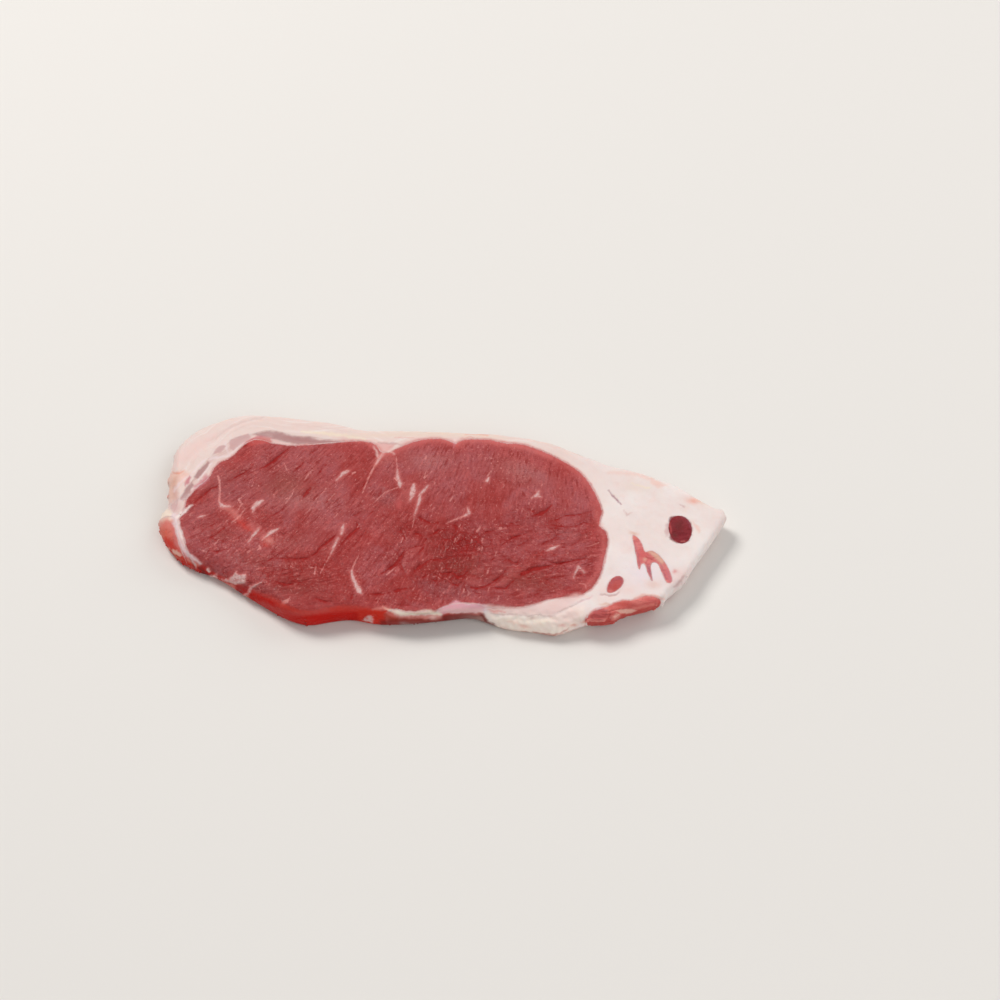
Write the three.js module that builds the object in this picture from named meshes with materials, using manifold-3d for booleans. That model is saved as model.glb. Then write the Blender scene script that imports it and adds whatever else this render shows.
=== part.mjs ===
// A raw New York strip steak, about half an inch thick, lying flat.
// It is a slab with a rounded rim, divided from face to face into its real tissues: the big eye
// muscle, the silverskin band behind it, the fat that wraps round both and forms the tail, and the
// small muscles that the tail and the ends enclose. Millimetres, +Z up, the tail towards +X.
import * as THREE from "three";
import { mergeVertices } from "three/addons/utils/BufferGeometryUtils.js";
import Module from "manifold-3d";

const wasm = await Module();
wasm.setup();

// Driving dimensions
const THICKNESS = 12; // the height of the top face above the surface that the steak lies on
const TISSUE_GAP = 0.3; // the gap between two tissues, all along their common wall
const SPINE = { left: -72, right: 72, y: 4, core: 6 }; // the middle line, and the core's half width
const RIM_STEPS = 150; // points along the rim
const SHOULDER_STEPS = 5; // loops from the top face down to the widest level
const UNDERSIDE_STEPS = 3; // loops from the widest level down to the resting face
const TOP_LOOPS = 7; // loops across the top face
const KNIFE_REACH = 2; // how far a cutting prism passes the slab, above and below

// How the rim falls away. shoulder: how far in the top face begins to fall. waist: the height of
// the widest level. undercut: how far the resting face's edge lies inside the widest level.
const EDGES = {
  cap: { shoulder: 4, waist: 7, undercut: 2 }, // the thick rounded back of the fat cap
  tail: { shoulder: 2.2, waist: 8.6, undercut: 5.5 }, // the slanting cut round the tail
  lobe: { shoulder: 12, waist: 3.6, undercut: 1.5 }, // the fat that droops to a thin edge
  fold: { shoulder: 3, waist: 7.5, undercut: 4.5 }, // where the front edge turns under
  belly: { shoulder: 3.2, waist: 5, undercut: 2 }, // the bulging red side of the eye
  thin: { shoulder: 10, waist: 4.2, undercut: 1.8 }, // the front left, where the steak thins out
  heel: { shoulder: 9, waist: 4, undercut: 2 }, // the sloping left end
};

// The widest outline, clockwise from the left end, with the edge at each point.
const RIM = [
  [-122.5, 6, "heel"],
  [-120.8, 11, "heel"],
  [-118.6, 15, "heel"],
  [-120.2, 18.5, "heel"],
  [-119.4, 23.5, "heel"],
  [-120.6, 28.5, "heel"],
  [-118.6, 34, "cap"],
  [-118.2, 41, "cap"],
  [-111, 52, "cap"],
  [-98.5, 59.2, "cap"],
  [-85, 62.2, "cap"],
  [-70, 60.6, "cap"],
  [-48, 57.4, "cap"],
  [-36.5, 54, "cap"],
  [-13, 53, "cap"],
  [8, 52, "cap"],
  [30, 50.4, "cap"],
  [47, 46.4, "cap"],
  [60, 40.4, "cap"],
  [73, 34.2, "cap"],
  [87, 30, "cap"],
  [103, 22.6, "cap"],
  [115, 13.4, "cap"],
  [119.6, 9.4, "tail"],
  [123.4, 8.2, "tail"],
  [122.6, 3.6, "tail"],
  [118, -4, "tail"],
  [109, -17.6, "tail"],
  [103.6, -27, "tail"],
  [96.3, -33.6, "tail"],
  [93.6, -37.4, "tail"],
  [77.5, -42.8, "tail"],
  [72.6, -45.8, "tail"],
  [61.5, -46.8, "tail"],
  [55, -48.2, "lobe"],
  [49.6, -50.2, "lobe"],
  [40, -48.6, "lobe"],
  [28, -46.6, "lobe"],
  [20.5, -43.6, "lobe"],
  [14.5, -42.6, "fold"],
  [2, -44, "fold"],
  [-14, -45.6, "fold"],
  [-26, -44.4, "belly"],
  [-37, -42.2, "belly"],
  [-46, -43.4, "belly"],
  [-55, -45, "belly"],
  [-64, -42, "belly"],
  [-75, -35, "thin"],
  [-85, -28.2, "thin"],
  [-96, -20.8, "thin"],
  [-105, -17, "thin"],
  [-111.5, -13, "heel"],
  [-118.6, -4.4, "heel"],
];

// Low swells and dips of the top face: the middle, the radii along X and Y, and the height.
const SWELLS = [
  { at: [8, -14], radii: [34, 22], height: -0.9 }, // the hollow in the middle of the eye
  { at: [20, 26], radii: [40, 20], height: 0.6 },
  { at: [-62, 24], radii: [30, 24], height: 0.5 },
  { at: [-92, -2], radii: [20, 18], height: -0.7 },
  { at: [52, -16], radii: [22, 20], height: 0.5 },
  { at: [-28, 12], radii: [10, 36], height: -0.5 }, // along the seam that divides the eye
  { at: [90, 4], radii: [30, 22], height: -0.6 }, // the tail sinks a little
  { at: [-40, -34], radii: [30, 12], height: 0.4 },
];

// Creases where the meat or the fat parts a little: each is a line on the top face.
const CREASE = { width: 2.2, depth: 1.1, clearance: 1.2, sections: 9, blunt: 0.12 };
const CREASES = [
  [[-66.5, 41.5], [-71.5, 36], [-76, 31.5], [-79.5, 28.5]],
  [[-82.5, 30.5], [-90, 26], [-93.5, 22.5]],
  [[-97, 20], [-102, 16.5], [-106, 12.5]],
  [[-65, -17.5], [-52, -16.5], [-47, -11], [-43, -5]],
  [[-68, -29.8], [-58, -29], [-50, -27.4]],
  [[28, -8.5], [32, -6], [38, -4.5], [52, -5.2], [64, -5]],
  [[34, -28], [34.5, -24.5], [42, -22.5], [50, -20], [58, -18.5], [65, -17.5]],
  [[13, -31.5], [20, -31], [25, -27], [28, -23], [29.5, -19]],
  [[-24, -26], [-19.5, -20.5], [-17, -19], [-15.5, -15], [-14.5, -12]],
  [[-12.5, -24], [-8, -21], [-4, -17]],
  [[-91, 53], [-100, 45.6], [-103.6, 42.4], [-106, 38]],
  [[72.7, 18.5], [75, 15], [77.7, 11]],
];

// Outlines of the tissues on the top face. Those that reach the rim run on past it.
const EYE_MUSCLE = [
  [-113, 2.5],
  [-110.6, 8],
  [-110.6, 13],
  [-106.8, 19.5],
  [-101.4, 25.6],
  [-98.8, 32.6],
  [-92.6, 36.4],
  [-86.6, 44.4],
  [-82, 46.6],
  [-75, 44.2],
  [-64, 43],
  [-46.8, 44.8],
  [-35, 45.6],
  [-29.6, 44.4],
  [-25.6, 38.6],
  [-20.4, 41],
  [-11.5, 45.6],
  [-1, 46.9],
  [3.4, 45.4],
  [6, 44],
  [9, 46],
  [20.5, 46.3],
  [28, 44.2],
  [36, 43.5],
  [49.5, 36.8],
  [61, 28],
  [67.3, 16.8],
  [70, 6],
  [68, 0.8],
  [71.8, -4.6],
  [70, -18],
  [67, -28.6],
  [60, -36],
  [47, -37.8],
  [36, -41.2],
  [14, -39.6],
  [5, -40.2],
  [-1, -43],
  [-12, -43.8],
  [-20, -42.8],
  [-28, -50],
  [-60, -54],
  [-82, -42],
  [-100, -27],
  [-102.4, -19],
  [-107, -13.6],
  [-109.6, -5.5],
];

const SILVERSKIN = [
  [-116.4, 12],
  [-113, 15],
  [-109, 22.6],
  [-103.6, 34],
  [-97.6, 41],
  [-92, 46.6],
  [-84.4, 49.4],
  [-77.6, 51.4],
  [-71, 50.4],
  [-67, 48.4],
  [-58, 48],
  [-53, 46.6],
  [-38, 46],
  [-32, 45.2],
  [-46.8, 43],
  [-64, 41.4],
  [-82, 44.6],
  [-92, 35],
  [-104, 20],
  [-108.6, 9],
  [-111.6, 5.6],
  [-115, 6.4],
];

const SIDE_MUSCLE = [
  [-114.6, 4.6],
  [-113.4, -1],
  [-112, -5.6],
  [-110, -11],
  [-107.4, -15.4],
  [-104.4, -18.2],
  [-108, -24],
  [-122, -16],
  [-128, -2],
  [-126, 5],
  [-119, 5.6],
];

const FLANK_MUSCLE = [
  [61.6, -45.6],
  [64.4, -43.2],
  [68, -42],
  [71.2, -40.8],
  [76, -38.2],
  [80.4, -38.3],
  [87, -35.8],
  [91.4, -36.6],
  [96, -39],
  [90, -48],
  [74, -54],
  [60, -54],
];

const BRANCH_MUSCLE = [
  [82.4, -4.6],
  [84.4, -6.2],
  [86.2, -9.6],
  [87.4, -14],
  [89.6, -13],
  [92, -14.4],
  [96.2, -20.8],
  [97.9, -29],
  [96, -29.8],
  [93.8, -24],
  [92.4, -19.8],
  [90.6, -18.8],
  [89.4, -20.4],
  [89.8, -29.4],
  [87.9, -24.4],
  [87, -20.4],
  [85.8, -19.4],
  [84.4, -23.4],
  [83.4, -15],
];

// A smooth curve through points of the plan.
function curveThrough(points, closed) {
  const flat = points.map(([x, y]) => new THREE.Vector3(x, y, 0));
  return new THREE.CatmullRomCurve3(flat, closed, "centripetal");
}

// A closed smooth line through points, as evenly spaced 2-D points.
function smoothLoop(points, spacing) {
  const curve = curveThrough(points, true);
  const steps = Math.max(12, Math.round(curve.getLength() / spacing));
  return curve
    .getSpacedPoints(steps)
    .slice(0, steps)
    .map((p) => new THREE.Vector2(p.x, p.y));
}

// An egg-shaped loop: a length and a width along a turned axis, fuller at one end.
function eggLoop({ at, length, width, turn, fullness, steps }) {
  const loop = [];
  for (let i = 0; i < steps; i++) {
    const a = (2 * Math.PI * i) / steps;
    const along = (length / 2) * Math.cos(a);
    const across = (width / 2) * Math.sin(a) * (1 + fullness * Math.cos(a));
    loop.push(
      new THREE.Vector2(along, across)
        .rotateAround(new THREE.Vector2(0, 0), turn)
        .add(new THREE.Vector2(...at)),
    );
  }
  return loop;
}

// The loop moved outwards by a distance, along the mean of the two edges' normals at each point.
function grown(loop, distance) {
  const side = THREE.ShapeUtils.isClockWise(loop) ? -1 : 1;
  return loop.map((p, i) => {
    const before = loop[(i + loop.length - 1) % loop.length];
    const after = loop[(i + 1) % loop.length];
    const along = after.clone().sub(before).normalize();
    return new THREE.Vector2(
      p.x + side * along.y * distance,
      p.y - side * along.x * distance,
    );
  });
}

// A closed mesh as a solid that can be joined and cut.
function solidOf(geometry) {
  const bare = geometry.clone();
  bare.deleteAttribute("normal");
  bare.deleteAttribute("uv");
  const merged = mergeVertices(bare, 1e-4);
  return new wasm.Manifold(
    new wasm.Mesh({
      numProp: 3,
      vertProperties: new Float32Array(merged.attributes.position.array),
      triVerts: new Uint32Array(merged.index.array),
    }),
  );
}

// A mesh from flat lists of coordinates and of vertex numbers.
function meshOf(coordinates, triangles) {
  const geometry = new THREE.BufferGeometry();
  const positions = new THREE.BufferAttribute(new Float32Array(coordinates), 3);
  geometry.setAttribute("position", positions);
  geometry.setIndex(new THREE.BufferAttribute(new Uint32Array(triangles), 1));
  return geometry;
}

function geometryOf(solid) {
  const mesh = solid.getMesh();
  const geometry = meshOf(mesh.vertProperties, mesh.triVerts);
  geometry.computeVertexNormals();
  return geometry;
}

// A cutting prism over a loop, from below the slab to above it.
function prism(loop) {
  const geometry = new THREE.ExtrudeGeometry(new THREE.Shape(loop), {
    depth: THICKNESS + 2 * KNIFE_REACH,
    bevelEnabled: false,
  });
  geometry.translate(0, 0, -KNIFE_REACH);
  return solidOf(geometry);
}

// The height of the top face at a point that lies inside the shoulder.
function topHeight(x, y) {
  let height = THICKNESS;
  for (const swell of SWELLS) {
    const dx = (x - swell.at[0]) / swell.radii[0];
    const dy = (y - swell.at[1]) / swell.radii[1];
    height += swell.height * Math.exp(-(dx * dx + dy * dy));
  }
  return height;
}

// The rim as evenly spaced points, each with its way inwards and the edge that it has.
function rimPoints() {
  const line = curveThrough(RIM, true);
  const sizes = RIM.map(([, , name]) => {
    const { shoulder, waist, undercut } = EDGES[name];
    return new THREE.Vector3(shoulder, waist, undercut);
  });
  const edges = new THREE.CatmullRomCurve3(sizes, true, "centripetal");
  const rim = [];
  for (let i = 0; i < RIM_STEPS; i++) {
    const t = line.getUtoTmapping(i / RIM_STEPS);
    const p = line.getPoint(t);
    const edge = edges.getPoint(t);
    const at = new THREE.Vector2(p.x, p.y);
    const x = THREE.MathUtils.clamp(p.x, SPINE.left, SPINE.right);
    const inward = new THREE.Vector2(x, SPINE.y).sub(at);
    const reach = inward.length() - SPINE.core;
    inward.normalize();
    rim.push({ at, reach, inward, shoulder: edge.x, waist: edge.y, undercut: edge.z });
  }
  return rim;
}

// One loop of the slab. place gives, for a rim point, how far in it lies and its height there.
function slabLoop(rim, place) {
  return rim.map((point) => {
    const { inset, height } = place(point);
    const at = point.at.clone().addScaledVector(point.inward, inset);
    return new THREE.Vector3(at.x, at.y, height(at.x, at.y));
  });
}

// All the slab's loops, from the core of the resting face round the rim to the core of the top.
function slabLoops(rim) {
  const flat = () => 0;
  const loops = [slabLoop(rim, (p) => ({ inset: p.reach, height: flat }))];
  for (let k = UNDERSIDE_STEPS; k > 0; k--) {
    const turn = ((k / UNDERSIDE_STEPS) * Math.PI) / 2;
    loops.push(
      slabLoop(rim, (p) => ({
        inset: p.undercut * (1 - Math.cos(turn)),
        height: () => p.waist * (1 - Math.sin(turn)),
      })),
    );
  }
  for (let k = 0; k <= SHOULDER_STEPS; k++) {
    const turn = ((k / SHOULDER_STEPS) * Math.PI) / 2;
    loops.push(
      slabLoop(rim, (p) => ({
        inset: p.shoulder * (1 - Math.cos(turn)),
        height: (x, y) => p.waist + (topHeight(x, y) - p.waist) * Math.sin(turn),
      })),
    );
  }
  for (let k = 1; k <= TOP_LOOPS; k++)
    loops.push(
      slabLoop(rim, (p) => ({
        inset: p.shoulder + ((p.reach - p.shoulder) * k) / TOP_LOOPS,
        height: topHeight,
      })),
    );
  return loops;
}

// The triangles of the core, a long loop round the spine: its two sides are sewn together from
// the left end to the right.
function coreTriangles(loop) {
  const count = loop.length;
  const leftmost = loop.reduce((best, p, i) => (p.x < loop[best].x ? i : best), 0);
  let ahead = (leftmost + 1) % count;
  let back = (leftmost + count - 1) % count;
  const triangles = [[leftmost, ahead, back]];
  while (triangles.length < count - 2) {
    const nextAhead = (ahead + 1) % count;
    const nextBack = (back + count - 1) % count;
    if (loop[nextAhead].x < loop[nextBack].x) {
      triangles.push([ahead, nextAhead, back]);
      ahead = nextAhead;
    } else {
      triangles.push([ahead, nextBack, back]);
      back = nextBack;
    }
  }
  return triangles;
}

// The whole steak before it is divided.
function slab() {
  const loops = slabLoops(rimPoints());
  const index = [];
  for (let k = 0; k + 1 < loops.length; k++)
    for (let i = 0; i < RIM_STEPS; i++) {
      const a = k * RIM_STEPS + i;
      const b = k * RIM_STEPS + ((i + 1) % RIM_STEPS);
      index.push(a, a + RIM_STEPS, b, b, a + RIM_STEPS, b + RIM_STEPS);
    }
  const last = (loops.length - 1) * RIM_STEPS;
  for (const [a, b, c] of coreTriangles(loops[0])) index.push(a, b, c);
  for (const [a, b, c] of coreTriangles(loops.at(-1)))
    index.push(last + a, last + c, last + b);

  const coordinates = loops.flat().flatMap((p) => [p.x, p.y, p.z]);
  return solidOf(meshOf(coordinates, index));
}

// The wedge that opens a crease: widest and deepest at its middle, and shallow at both ends.
function creaseWedge(points) {
  const { width, depth, clearance, sections, blunt } = CREASE;
  const curve = curveThrough(points, false);
  const halfWidth = (width * (depth + clearance)) / depth / 2;
  const coordinates = [];
  const index = [];
  for (let k = 0; k < sections; k++) {
    const t = k / (sections - 1);
    const size = blunt + (1 - blunt) * Math.sin(Math.PI * t);
    const at = curve.getPointAt(t);
    const along = curve.getTangentAt(t);
    const across = new THREE.Vector2(-along.y, along.x).multiplyScalar(halfWidth * size);
    const surface = topHeight(at.x, at.y);
    coordinates.push(at.x + across.x, at.y + across.y, surface + clearance * size);
    coordinates.push(at.x - across.x, at.y - across.y, surface + clearance * size);
    coordinates.push(at.x, at.y, surface - depth * size);
    if (k === 0) continue;
    const before = 3 * (k - 1);
    for (const [a, b] of [[0, 1], [1, 2], [2, 0]]) {
      index.push(before + a, before + b, before + 3 + a);
      index.push(before + b, before + 3 + b, before + 3 + a);
    }
  }
  const end = 3 * (sections - 1);
  index.push(0, 2, 1, end, end + 1, end + 2);
  return solidOf(meshOf(coordinates, index));
}

// The tissues that the fat encloses, in the order in which they are taken out of the slab.
const TISSUES = [
  { name: "eye_muscle", loop: smoothLoop(EYE_MUSCLE, 4), material: "lean" },
  { name: "silverskin", loop: smoothLoop(SILVERSKIN, 3.5), material: "gristle" },
  { name: "side_muscle", loop: smoothLoop(SIDE_MUSCLE, 3.5), material: "lean" },
  { name: "flank_muscle", loop: smoothLoop(FLANK_MUSCLE, 3.5), material: "lean" },
  { name: "branch_muscle", loop: smoothLoop(BRANCH_MUSCLE, 1.6), material: "pale" },
  {
    name: "round_muscle",
    loop: eggLoop({
      at: [102.9, -2.1],
      length: 14.6,
      width: 9.8,
      turn: 1.62,
      fullness: 0.06,
      steps: 22,
    }),
    material: "dark",
  },
  {
    name: "oval_muscle",
    loop: eggLoop({
      at: [73.8, -30.6],
      length: 10,
      width: 5.4,
      turn: 0.93,
      fullness: 0.18,
      steps: 18,
    }),
    material: "lean",
  },
];

const FINISHES = {
  lean: { color: 0xa5504e, roughness: 0.45 },
  pale: { color: 0xc97770, roughness: 0.5 },
  dark: { color: 0x6e2a2c, roughness: 0.4 },
  gristle: { color: 0xb8868a, roughness: 0.4 },
  fat: { color: 0xe9d8d2, roughness: 0.5 },
};

function finish(name) {
  return new THREE.MeshStandardMaterial({ ...FINISHES[name], metalness: 0 });
}

function steak() {
  const whole = CREASES.reduce((solid, line) => solid.subtract(creaseWedge(line)), slab());
  const group = new THREE.Group();
  let fat = whole;
  for (const tissue of TISSUES) {
    const node = new THREE.Mesh(
      geometryOf(fat.intersect(prism(tissue.loop))),
      finish(tissue.material),
    );
    node.name = tissue.name;
    group.add(node);
    fat = fat.subtract(prism(grown(tissue.loop, TISSUE_GAP)));
  }
  const cap = new THREE.Mesh(geometryOf(fat), finish("fat"));
  cap.name = "fat_cap";
  group.add(cap);

  // The origin is the middle of the resting face.
  const box = new THREE.Box3().setFromObject(group);
  const centre = box.getCenter(new THREE.Vector3());
  group.position.set(-centre.x, -centre.y, -box.min.z);
  return group;
}

export default steak();
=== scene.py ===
"""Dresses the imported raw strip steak: its meat, fat and silverskin, the light and the camera.

Places in the lists are plan millimetres on the cut face: x runs towards the tail and y towards
the fat cap, and PLAN_ORIGIN is where the frame's origin lies in them. Meshes are in metres.
"""

import logging
import math
from dataclasses import dataclass
from enum import Enum
from itertools import product
from typing import Any, Iterable

import bpy
import numpy as np
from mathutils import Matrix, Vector
from mathutils.bvhtree import BVHTree


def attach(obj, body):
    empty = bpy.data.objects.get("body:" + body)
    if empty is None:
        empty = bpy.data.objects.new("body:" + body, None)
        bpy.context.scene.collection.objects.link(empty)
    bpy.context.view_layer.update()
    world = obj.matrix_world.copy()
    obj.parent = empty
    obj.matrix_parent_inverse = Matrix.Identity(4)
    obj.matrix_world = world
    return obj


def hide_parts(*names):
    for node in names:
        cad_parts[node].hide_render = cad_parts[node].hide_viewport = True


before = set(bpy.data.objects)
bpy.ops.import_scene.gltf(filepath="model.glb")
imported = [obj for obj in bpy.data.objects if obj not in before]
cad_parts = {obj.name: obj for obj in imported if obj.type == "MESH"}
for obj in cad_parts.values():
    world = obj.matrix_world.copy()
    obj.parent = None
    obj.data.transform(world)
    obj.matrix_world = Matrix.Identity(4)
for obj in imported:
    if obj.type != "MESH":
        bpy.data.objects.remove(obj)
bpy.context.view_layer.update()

log = logging.getLogger("steak")

MM = 0.001
PLAN_ORIGIN = (0.449, 5.988)
THICKNESS = 12.0
SEED = 11

Point = tuple[float, float]
Mark = tuple[float, float, float]
Colour = tuple[float, float, float]
Paint = dict[str, np.ndarray]


def smoothstep(low: float, high: float, values: np.ndarray) -> np.ndarray:
    """0 below low, 1 above high and a smooth rise between them; low may be the larger."""
    share = np.clip((values - low) / (high - low), 0.0, 1.0)
    return share * share * (3.0 - 2.0 * share)


def tone(red: float, green: float, blue: float) -> tuple[float, float, float, float]:
    """Turns a colour into the shader's linear one.

    Args:
        red: the red as a screen shows it, from 0 to 255.
        green: the green.
        blue: the blue.

    Returns:
        The linear colour, with an alpha of 1.
    """
    parts = [c / 255.0 for c in (red, green, blue)]
    linear = [c / 12.92 if c <= 0.04045 else ((c + 0.055) / 1.055) ** 2.4 for c in parts]
    return (*linear, 1.0)


def plan_of(points: np.ndarray) -> np.ndarray:
    """Turns mesh points in metres into plan millimetres, with the height kept as the third."""
    return points / MM + np.array([*PLAN_ORIGIN, 0.0])


# Fields on the plan


class GradientNoise:
    """Smooth seeded noise on points in space, from about -1 to 1."""

    cells = 256
    gain = 1.6

    def __init__(self, seed: int) -> None:
        """Draws the lattice.

        Args:
            seed: the number that the draws start from.
        """
        draw = np.random.default_rng(seed)
        self.order = draw.permutation(self.cells)
        ways = draw.normal(size=(self.cells, 3))
        self.ways = ways / np.linalg.norm(ways, axis=1, keepdims=True)

    def __call__(self, points: np.ndarray) -> np.ndarray:
        """Samples the noise.

        Args:
            points: an array of places, one row each, in lattice cells.

        Returns:
            One value for each place.
        """
        base = np.floor(points).astype(int)
        local = points - base
        fade = local**3 * (local * (local * 6.0 - 15.0) + 10.0)
        total = np.zeros(len(points))
        for corner in product((0, 1), repeat=3):
            cell = (base + corner) % self.cells
            first = self.order[cell[:, 0]]
            second = self.order[(first + cell[:, 1]) % self.cells]
            way = self.ways[self.order[(second + cell[:, 2]) % self.cells]]
            share = np.prod(np.where(corner, fade, 1.0 - fade), axis=1)
            total += share * ((local - corner) * way).sum(axis=1)
        return total * self.gain


class Shingles:
    """Seeded flakes that overlap: each slopes gently and ends in a short steep step."""

    folds = 2.7
    fine_folds = 0.4
    fine_size = 0.3

    def __init__(self, seed: int, size: float) -> None:
        """Draws the noise that the flakes follow.

        Args:
            seed: the number that the draws start from.
            size: the size of a flake, in millimetres.
        """
        self.broad, self.fine = GradientNoise(seed), GradientNoise(seed + 1)
        self.size = size

    def __call__(self, plan: np.ndarray) -> tuple[np.ndarray, np.ndarray]:
        """Samples the flakes.

        Args:
            plan: places on the plan, one row each.

        Returns:
            The heights, from 0 to about 1, and how near each place is to a step's foot.
        """
        rise = self.broad(plan / self.size) * self.folds
        rise = rise + self.fine(plan / (self.size * self.fine_size)) * self.fine_folds
        share = rise - np.floor(rise)
        height = smoothstep(0.0, 0.25, share) - share
        foot = np.maximum(smoothstep(0.80, 0.98, share), smoothstep(0.14, 0.0, share))
        return height, foot


class Stroke:
    """A streak on the cut face."""

    def __init__(self, *marks: Mark) -> None:
        """Keeps the streak's marks.

        Args:
            *marks: places along the streak, each with the streak's width there.
        """
        self.marks = np.array(marks, float)

    def depth(self, plan: np.ndarray, reach: float) -> np.ndarray:
        """Measures how far places lie from the streak's edge.

        Args:
            plan: places on the plan, one row each.
            reach: the distance past which it need not be measured, and which is given instead.

        Returns:
            Millimetres for each place, below zero inside the streak.
        """
        marks = self.marks
        low = marks[:, :2].min(axis=0) - reach - marks[:, 2].max()
        high = marks[:, :2].max(axis=0) + reach + marks[:, 2].max()
        inside = np.all((plan[:, :2] > low) & (plan[:, :2] < high), axis=1)
        near = plan[inside, :2]
        best = np.full(len(near), reach)
        pairs = zip(marks[:-1], marks[1:]) if len(marks) > 1 else [(marks[0], marks[0])]
        for start, end in pairs:
            run = end[:2] - start[:2]
            length = max(float(run @ run), 1e-9)
            share = np.clip((near - start[:2]) @ run / length, 0.0, 1.0)
            foot = start[:2] + share[:, None] * run
            width = start[2] + (end[2] - start[2]) * share
            best = np.minimum(best, np.linalg.norm(near - foot, axis=1) - width / 2)
        depth = np.full(len(plan), reach)
        depth[inside] = best
        return depth

    def cover(self, plan: np.ndarray, soft: float) -> np.ndarray:
        """1 inside the streak and 0 outside, with a border as soft as given, in millimetres."""
        return smoothstep(soft, -soft, self.depth(plan, soft + 0.1))


class Outline:
    """A closed ragged shape on the cut face."""

    def __init__(self, *corners: Point) -> None:
        """Keeps the shape's corners.

        Args:
            *corners: the places round the shape, in order.
        """
        self.corners = corners
        self.rim = Stroke(*((x, y, 0.0) for x, y in (*corners, corners[0])))

    def depth(self, plan: np.ndarray, reach: float) -> np.ndarray:
        """Measures how far places lie from the shape.

        Args:
            plan: places on the plan, one row each.
            reach: the distance past which it need not be measured, and which is given instead.

        Returns:
            Millimetres for each place, below zero inside the shape.
        """
        away = self.rim.depth(plan, reach)
        crossings = np.zeros(len(plan), bool)
        for (x0, y0), (x1, y1) in zip(self.corners, self.corners[1:] + self.corners[:1]):
            spans = (y0 > plan[:, 1]) != (y1 > plan[:, 1])
            slope = (x1 - x0) / (y1 - y0) if y1 != y0 else 0.0
            crossings ^= spans & (plan[:, 0] < x0 + slope * (plan[:, 1] - y0))
        return np.where(crossings, -away, away)

    def cover(self, plan: np.ndarray, soft: float) -> np.ndarray:
        """1 inside the shape and 0 outside, as Stroke.cover gives it."""
        return smoothstep(soft, -soft, self.depth(plan, soft + 0.1))


@dataclass(frozen=True)
class Spot:
    """A soft round or oval patch on the plan, turned by degrees."""

    x: float
    y: float
    along: float
    across: float
    turn: float = 0.0
    strength: float = 1.0

    def weight(self, plan: np.ndarray) -> np.ndarray:
        """Gives the patch's strength, which fades like a bell.

        Args:
            plan: places on the plan, one row each.

        Returns:
            One value for each place.
        """
        angle = math.radians(self.turn)
        dx, dy = plan[:, 0] - self.x, plan[:, 1] - self.y
        run = (dx * math.cos(angle) + dy * math.sin(angle)) / self.along
        rise = (dy * math.cos(angle) - dx * math.sin(angle)) / self.across
        return self.strength * np.exp(-(run * run + rise * rise))

    def cover(self, plan: np.ndarray, soft: float) -> np.ndarray:
        """The patch's own strength, which is soft anyway."""
        return self.weight(plan)


def streaks(*rows: tuple[Mark, ...]) -> tuple[Stroke, ...]:
    """Streaks, each with the marks of one row."""
    return tuple(Stroke(*marks) for marks in rows)


def nearest_edge(shapes: Iterable[Stroke | Outline], plan: np.ndarray, reach: float = 4.0) -> np.ndarray:
    """Measures how far places lie from the nearest of several shapes.

    Args:
        shapes: the shapes.
        plan: places on the plan, one row each.
        reach: the distance past which it need not be measured.

    Returns:
        Millimetres for each place, below zero inside a shape.
    """
    best = np.full(len(plan), reach)
    for shape in shapes:
        best = np.minimum(best, shape.depth(plan, reach))
    return best


def spread(spots: Iterable[Spot], plan: np.ndarray) -> np.ndarray:
    """The strongest of several soft patches at each place."""
    return np.max([spot.weight(plan) for spot in spots], axis=0)


@dataclass(frozen=True)
class Grain:
    """How the muscle fibres of the eye run: they fan out behind and lie level in front."""

    turn: float = math.radians(68.6)
    turn_per_mm: float = math.radians(0.3226)
    level_turn: float = math.radians(8.0)

    def fanned(self, plan: np.ndarray) -> np.ndarray:
        """Lays coordinates along the fanned fibres.

        Args:
            plan: places on the plan, one row each.

        Returns:
            For each place how far across and along the fibres it lies, and its height.
        """
        place = plan[:, 0] + 1j * plan[:, 1]
        swing = np.exp(1j * (math.pi / 2 - self.turn - self.turn_per_mm * place))
        field = swing / (-1j * self.turn_per_mm)
        return np.stack([field.real, field.imag, plan[:, 2]], axis=1)

    def level(self, plan: np.ndarray) -> np.ndarray:
        """Lays coordinates along the level fibres, as fanned does along the others.

        Args:
            plan: places on the plan, one row each.

        Returns:
            For each place how far across and along the fibres it lies, and its height.
        """
        cos, sin = math.cos(self.level_turn), math.sin(self.level_turn)
        across = plan[:, 1] * cos - plan[:, 0] * sin
        along = plan[:, 0] * cos + plan[:, 1] * sin
        return np.stack([across, along, plan[:, 2]], axis=1)

    def lay(self, plan: np.ndarray) -> np.ndarray:
        """Says where the fibres lie level: in the front right and the front left.

        Args:
            plan: places on the plan, one row each.

        Returns:
            The share of level fibres at each place.
        """
        x, y = plan[:, 0], plan[:, 1]
        right = smoothstep(10.0, 24.0, x) * smoothstep(6.0, -5.0, y)
        left = smoothstep(-34.0, -48.0, x) * smoothstep(-14.0, -22.0, y)
        return np.maximum(right, left)

    def angle(self, x: float, y: float) -> float:
        """The way the fibres run at one place, in radians from the x axis."""
        lay = float(self.lay(np.array([[x, y, 0.0]]))[0])
        return (1.0 - lay) * (self.turn + self.turn_per_mm * x) + lay * self.level_turn


# What is drawn on the cut face


@dataclass(frozen=True)
class Daub:
    """A colour that is laid on over a shape."""

    colour: Colour
    shape: Stroke | Outline | Spot
    soft: float
    strength: float

    def share(self, seen: np.ndarray) -> np.ndarray:
        """How much of the colour lies at each place, from 0 to 1."""
        return np.clip(self.shape.cover(seen, self.soft) * self.strength, 0.0, 1.0)


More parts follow.
